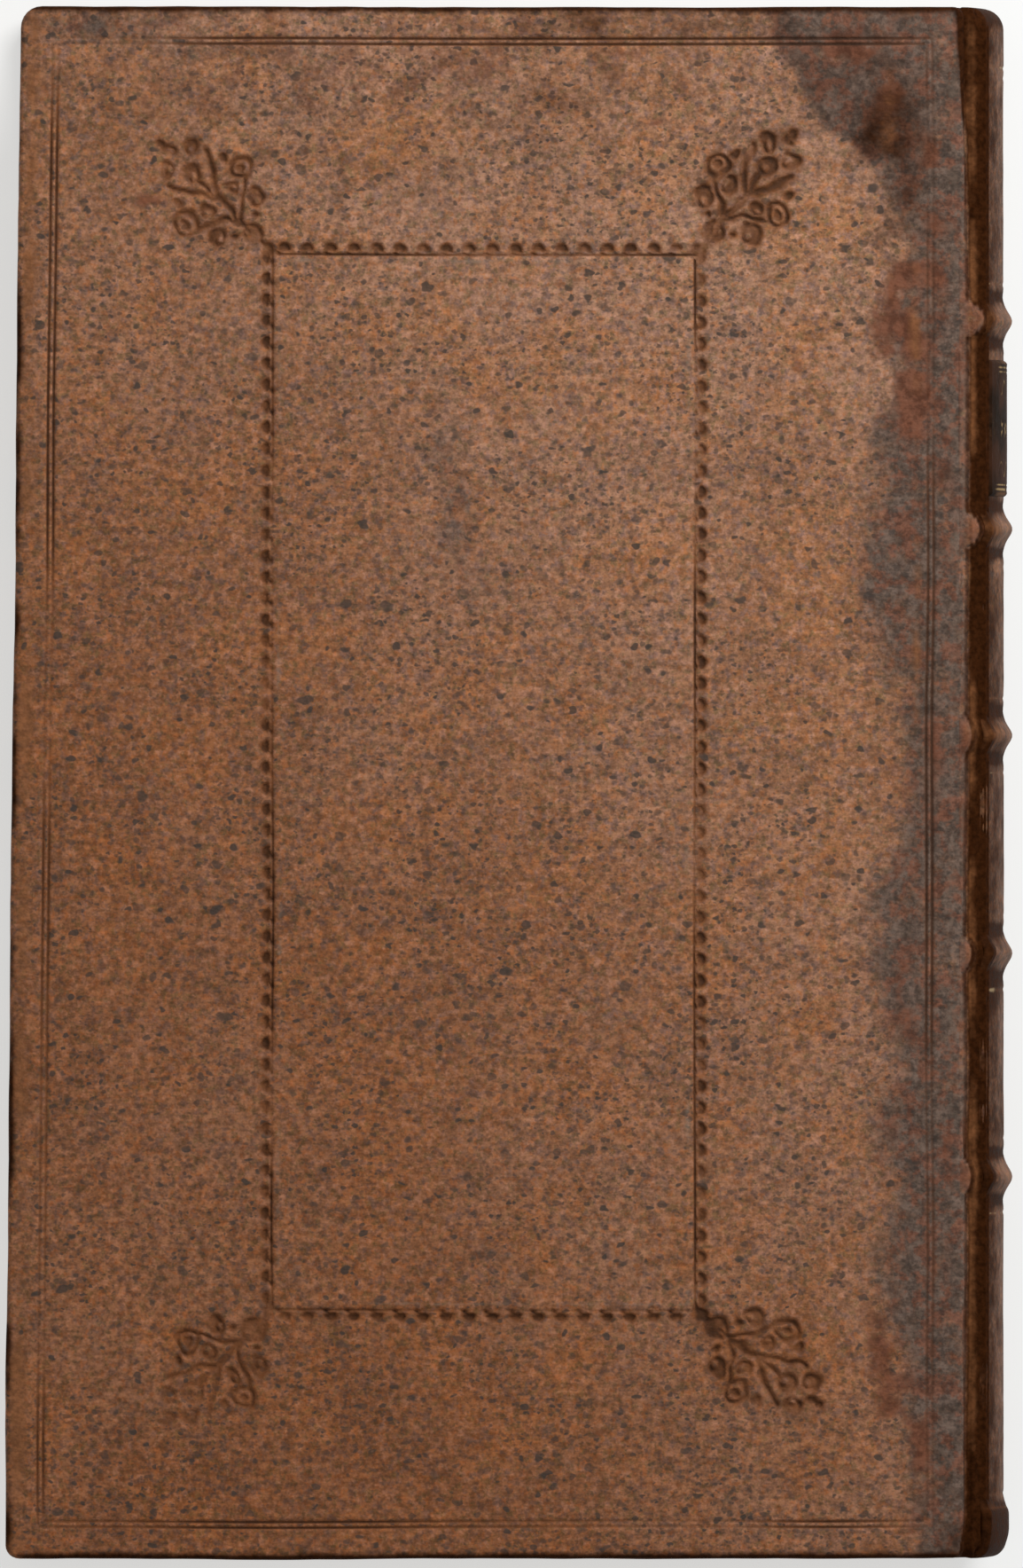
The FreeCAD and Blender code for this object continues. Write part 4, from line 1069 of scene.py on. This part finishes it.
def calf_material():
    """Sprinkled, stained and rubbed calf, with the painted shade, shadow and highlight that its levels carry.
    """
    s = Surface("sprinkled_calf")
    at = s.rest()
    grey, red, dark, dust = s.levels("stains")
    tooled_and_shadow, worn, gilt, plain = s.levels("marks")
    patchy = s.noise(at, 11, 3, 0.6)
    fine = s.noise(at, 0.9, 2, 0.7)
    deep_fine = s.steps(fine, 0.25, 0.75)
    blotch = s.noise(at, 1.7, 3, 0.7)
    blotches = s.steps(blotch, 0.4, 0.62)
    lift = s.math("MULTIPLY_ADD", s.noise(at, 4.2, 3, 0.72), 1.5, -0.75)
    mottle = s.plus(s.times(lift, 0.55), s.times(s.math("SUBTRACT", blotch, 0.5), 0.8))

    drops = calf_drops(s, at, plain)
    color = s.mix(drops, calf_ground(s, at, patchy, fine), (0.046, 0.038, 0.032))
    grey_share = s.steps(s.plus(grey, mottle), 0.02, 0.9, 0.0, 0.94)
    grey_tone = s.mix(blotches, (0.074, 0.052, 0.04), (0.122, 0.085, 0.066))
    grey_tone = s.lay(grey_tone, (0.158, 0.055, 0.03), s.noise(at, 2.9, 3, 0.75), 0.47, 0.6, 0.7)
    grey_tone = s.shade(grey_tone, s.steps(fine, 0.3, 0.7), 0.62, 1.4)
    grey_tone = s.mix(s.times(drops, 0.55), grey_tone, (0.04, 0.03, 0.025))
    color = s.mix(grey_share, color, grey_tone)
    red_tone = s.mix(blotches, (0.095, 0.031, 0.015), (0.19, 0.068, 0.035))
    color = s.lay(color, red_tone, s.plus(red, mottle), 0.12, 0.85, 0.85)
    # Pale dust colour, also the painted highlight on the panel's ridge.
    color = s.lay(color, (0.205, 0.155, 0.115), s.plus(dust, lift), 0.15, 0.9, 0.7)

    # Near-black where the dark level is high: dark stains and dye, and the painted shade of the joints and
    # the spine's sides.
    dark_share = s.steps(s.plus(dark, s.times(lift, 0.4)), 0.1, 0.8)
    color = s.mix(dark_share, color, s.shade((0.028, 0.0085, 0.0024), deep_fine, 0.6, 1.5))
    worn_tone = s.shade((0.205, 0.08, 0.031), deep_fine, 0.75, 1.25)
    color = s.lay(color, worn_tone, s.plus(worn, s.times(lift, 0.6)), 0.2, 0.9, 0.85)
    # Brown of the tools' marks, turning near-black where their painted shadow lies.
    tool_and_shadow_tone = s.lay((0.135, 0.047, 0.016), (0.042, 0.015, 0.005), tooled_and_shadow, 0.5, 0.95)
    tool_and_shadow_tone = s.mix(s.times(grey_share, 0.75), tool_and_shadow_tone, (0.042, 0.022, 0.014))
    tool_and_shadow_tone = s.shade(tool_and_shadow_tone, s.steps(blotch, 0.3, 0.7), 0.75, 1.3)
    color = s.lay(color, tool_and_shadow_tone, tooled_and_shadow, 0.02, 0.75, 0.9)
    color = s.lay(color, (0.33, 0.24, 0.13), s.plus(gilt, lift), 0.35, 0.9, 0.75)

    creases = s.noise(s.scale(at, 0.5, 1.2, 1.0), 0.5, 1, 0.7)
    grain = s.math("MULTIPLY_ADD", s.cells(at, 0.42)["Distance"], -0.5, creases)
    normal = s.bump(s.noise(at, 3.6, 1, 0.65), 0.0003, 0.35, s.bump(grain, 0.0001, 0.55))
    matt = s.plus(s.steps(fine, 0.2, 0.8, 0.5, 0.68), s.times(grey_share, 0.1))
    gloss = s.times(s.steps(dark_share, 0.3, 1.0, 0.09, 0.02), s.steps(plain, 0.2, 0.6, 1.0, 0.3))
    return s.finish(color, matt, gloss, Normal=normal)


def label_material():
    """Dark goatskin with rubbed gilding."""
    s = Surface("label_goatskin")
    at = s.rest()
    _, worn, gilt, _ = s.levels("marks")
    fine = s.noise(at, 0.9, 5, 0.65)
    color = s.lay((0.012, 0.006, 0.003), (0.035, 0.014, 0.007), s.noise(at, 5, 3), 0.35, 0.65)
    color = s.shade(color, fine, 0.7, 1.4)
    color = s.lay(color, (0.16, 0.075, 0.035), s.plus(worn, fine), 0.7, 1.4, 0.7)
    share = s.steps(s.plus(gilt, s.times(fine, 0.6)), 0.55, 1.2)
    color = s.mix(share, color, (0.32, 0.21, 0.09))
    grain = s.cells(at, 0.55, "SMOOTH_F1")["Distance"]
    normal = s.bump(fine, 0.00006, 0.4, s.bump(grain, 0.00012, 0.5))
    matt = s.steps(fine, 0.2, 0.8, 0.58, 0.74)
    return s.finish(color, matt, 0.02, Normal=normal, Metallic=s.times(share, 0.35))


def paper_material(name, light, dark, edge_lines):
    """Old rag paper; edge_lines shows the single leaves."""
    s = Surface(name)
    at = s.rest() if edge_lines else s.on_solid()
    fibre = s.noise(at, 0.7, 5, 0.7)
    laid, chain = s.waves(at, 0.28, 0.5, "Y"), s.waves(at, 0.012, 0.4, "X")
    color = s.lay(light, dark, s.noise(at, 26, 4, 0.6), 0.3, 0.7)
    relief_height, distance, strength = laid, 0.00002, 0.3
    if edge_lines:
        cut = s.attribute("cut")["Fac"]
        leaves = s.noise(s.scale(at, 0.02, 0.02, 1.0), 0.16, 3, 0.7)
        gatherings = s.noise(s.scale(at, 0.03, 0.03, 1.0), 1.3, 2, 0.6)
        lines = s.shade(color, s.steps(leaves, 0.25, 0.75), 0.62, 1.16)
        lines = s.shade(lines, s.steps(gatherings, 0.3, 0.7), 0.8, 1.08)
        color = s.mix(cut, color, lines)
        relief_height, distance, strength = s.times(leaves, cut), 0.00012, 0.6
    color = s.shade(color, fibre, 0.92, 1.08)
    spots = speckles(s, wobbled(s, at, 1.4, 1.5), *FOXING)
    color = s.mix(s.times(spots, 0.4), color, (0.3, 0.17, 0.075))
    color = s.shade(color, laid, 0.985, 1.015)
    color = s.shade(color, s.steps(chain, 0.9, 1.0), 1.0, 0.965)
    normal = s.bump(relief_height, distance, strength, s.bump(fibre, 0.00004, 0.4))
    return s.finish(color, s.steps(fibre, 0.2, 0.8, 0.78, 0.92), 0.2, Normal=normal)


def fibre_material(name, base, deep, size):
    """Pasteboard or cord: matted fibres."""
    s = Surface(name)
    at = s.on_solid()
    fibre = s.noise(s.scale(at, 0.4, 1.0, 1.6), size, 5, 0.7, 0.6)
    color = s.shade(s.lay(deep, base, fibre, 0.3, 0.7), s.noise(at, size * 6, 3, 0.6), 0.8, 1.15)
    matt = s.steps(fibre, 0.2, 0.8, 0.8, 0.95)
    return s.finish(color, matt, 0.2, Normal=s.bump(fibre, 0.0002, 0.6))


def thread_material():
    """Faded two-colour thread of the endbands."""
    s = Surface("endband_thread")
    at = s.rest()
    strands = s.noise(at, 0.3, 4, 0.7)
    color = s.mix(s.attribute("thread")["Fac"], (0.36, 0.28, 0.18), (0.085, 0.09, 0.115))
    color = s.shade(color, strands, 0.65, 1.25)
    color = s.lay(color, (0.17, 0.12, 0.075), s.noise(at, 4, 3), 0.5, 0.75, 0.6)
    matt = s.steps(strands, 0.2, 0.8, 0.7, 0.9)
    return s.finish(color, matt, 0.25, Normal=s.bump(strands, 0.0001, 0.6))


def floor_material():
    """Pale, matt backdrop paper."""
    s = Surface("backdrop_paper")
    shadow = s.noise(s.node("TexCoord", {})["Object"], 0.004, 3)
    color = s.shade((0.38, 0.38, 0.375), shadow, 0.99, 1.01)
    return s.finish(color, 0.9, Emission_Color=(1.0, 1.0, 0.985), Emission_Strength=0.57)


# Scene

CAMERA_HEIGHT = 4.0
FRAME_HEIGHT = 0.200
FRAME_CENTRE = (0.00028, -0.00017)
SENSOR = 36.0
FLOOR_REACH, FLOOR_LEVEL = 6000.0, -0.6
KEY_PLACE, KEY_SIZE, KEY_POWER = (0.32, 0.42, 0.5), 0.4, 4.6
WORLD_COLOR, WORLD_STRENGTH = (0.96, 0.98, 1.0, 1), 0.36


def make_pieces():
    """Every visible piece of the book."""
    calf = calf_material()
    make_cover("back", calf, 11)
    make_cover("front", calf, 211)
    make_joint("back", calf, 31)
    make_joint("front", calf, 231)
    make_spine(calf, 51)
    make_label(label_material(), 71)
    make_pages(paper_material("page_edges", (0.56, 0.43, 0.27), (0.44, 0.31, 0.175), True), 81)
    thread = thread_material()
    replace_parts(make_endband("head_endband_thread", 1, thread), "head_endband")
    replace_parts(make_endband("tail_endband_thread", -1, thread), "tail_endband")


def finish_solids():
    """Materials of the solids that stay as they are."""
    paste = paper_material("pastedown_paper", (0.6, 0.47, 0.3), (0.5, 0.37, 0.22), False)
    board = fibre_material("grey_pasteboard", (0.34, 0.27, 0.19), (0.2, 0.15, 0.1), 0.6)
    cord = fibre_material("hemp_cord", (0.45, 0.36, 0.22), (0.25, 0.18, 0.1), 0.25)
    finishes = {"pastedown": paste, "board": board, "slips": cord, "cord": cord}
    for name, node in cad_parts.items():
        for part, material in finishes.items():
            if part in name:
                node.data.materials.clear()
                node.data.materials.append(material)


def make_camera():
    """Long lens, straight above the cover."""
    data = bpy.data.cameras.new("camera")
    data.sensor_width = SENSOR
    data.lens = SENSOR * CAMERA_HEIGHT / FRAME_HEIGHT
    data.clip_end = 50
    camera = add_object("camera", data)
    camera.location = (*FRAME_CENTRE, THICKNESS * MM + CAMERA_HEIGHT)
    bpy.context.scene.camera = camera


def make_light():
    """Square soft light that faces the book."""
    data = bpy.data.lights.new("key", "AREA")
    data.size = KEY_SIZE
    data.energy = KEY_POWER
    light = add_object("key", data)
    light.location = KEY_PLACE
    light.rotation_euler = (-Vector(KEY_PLACE)).to_track_quat("-Z", "Y").to_euler()


def make_stage():
    """Pale floor and pale surroundings."""
    corners = np.array([(-1, -1, 0), (1, -1, 0), (1, 1, 0), (-1, 1, 0)]) * FLOOR_REACH + (0, 0, FLOOR_LEVEL)
    floor = make_object("floor", corners, [(0, 1, 2, 3)], floor_material())
    world = bpy.data.worlds.new("studio")
    world.use_nodes = True
    background = world.node_tree.nodes["Background"]
    background.inputs["Color"].default_value = WORLD_COLOR
    background.inputs["Strength"].default_value = WORLD_STRENGTH
    bpy.context.scene.world = world
    bpy.context.scene.view_settings.view_transform = "Standard"


make_pieces()
finish_solids()
make_stage()
make_light()
make_camera()
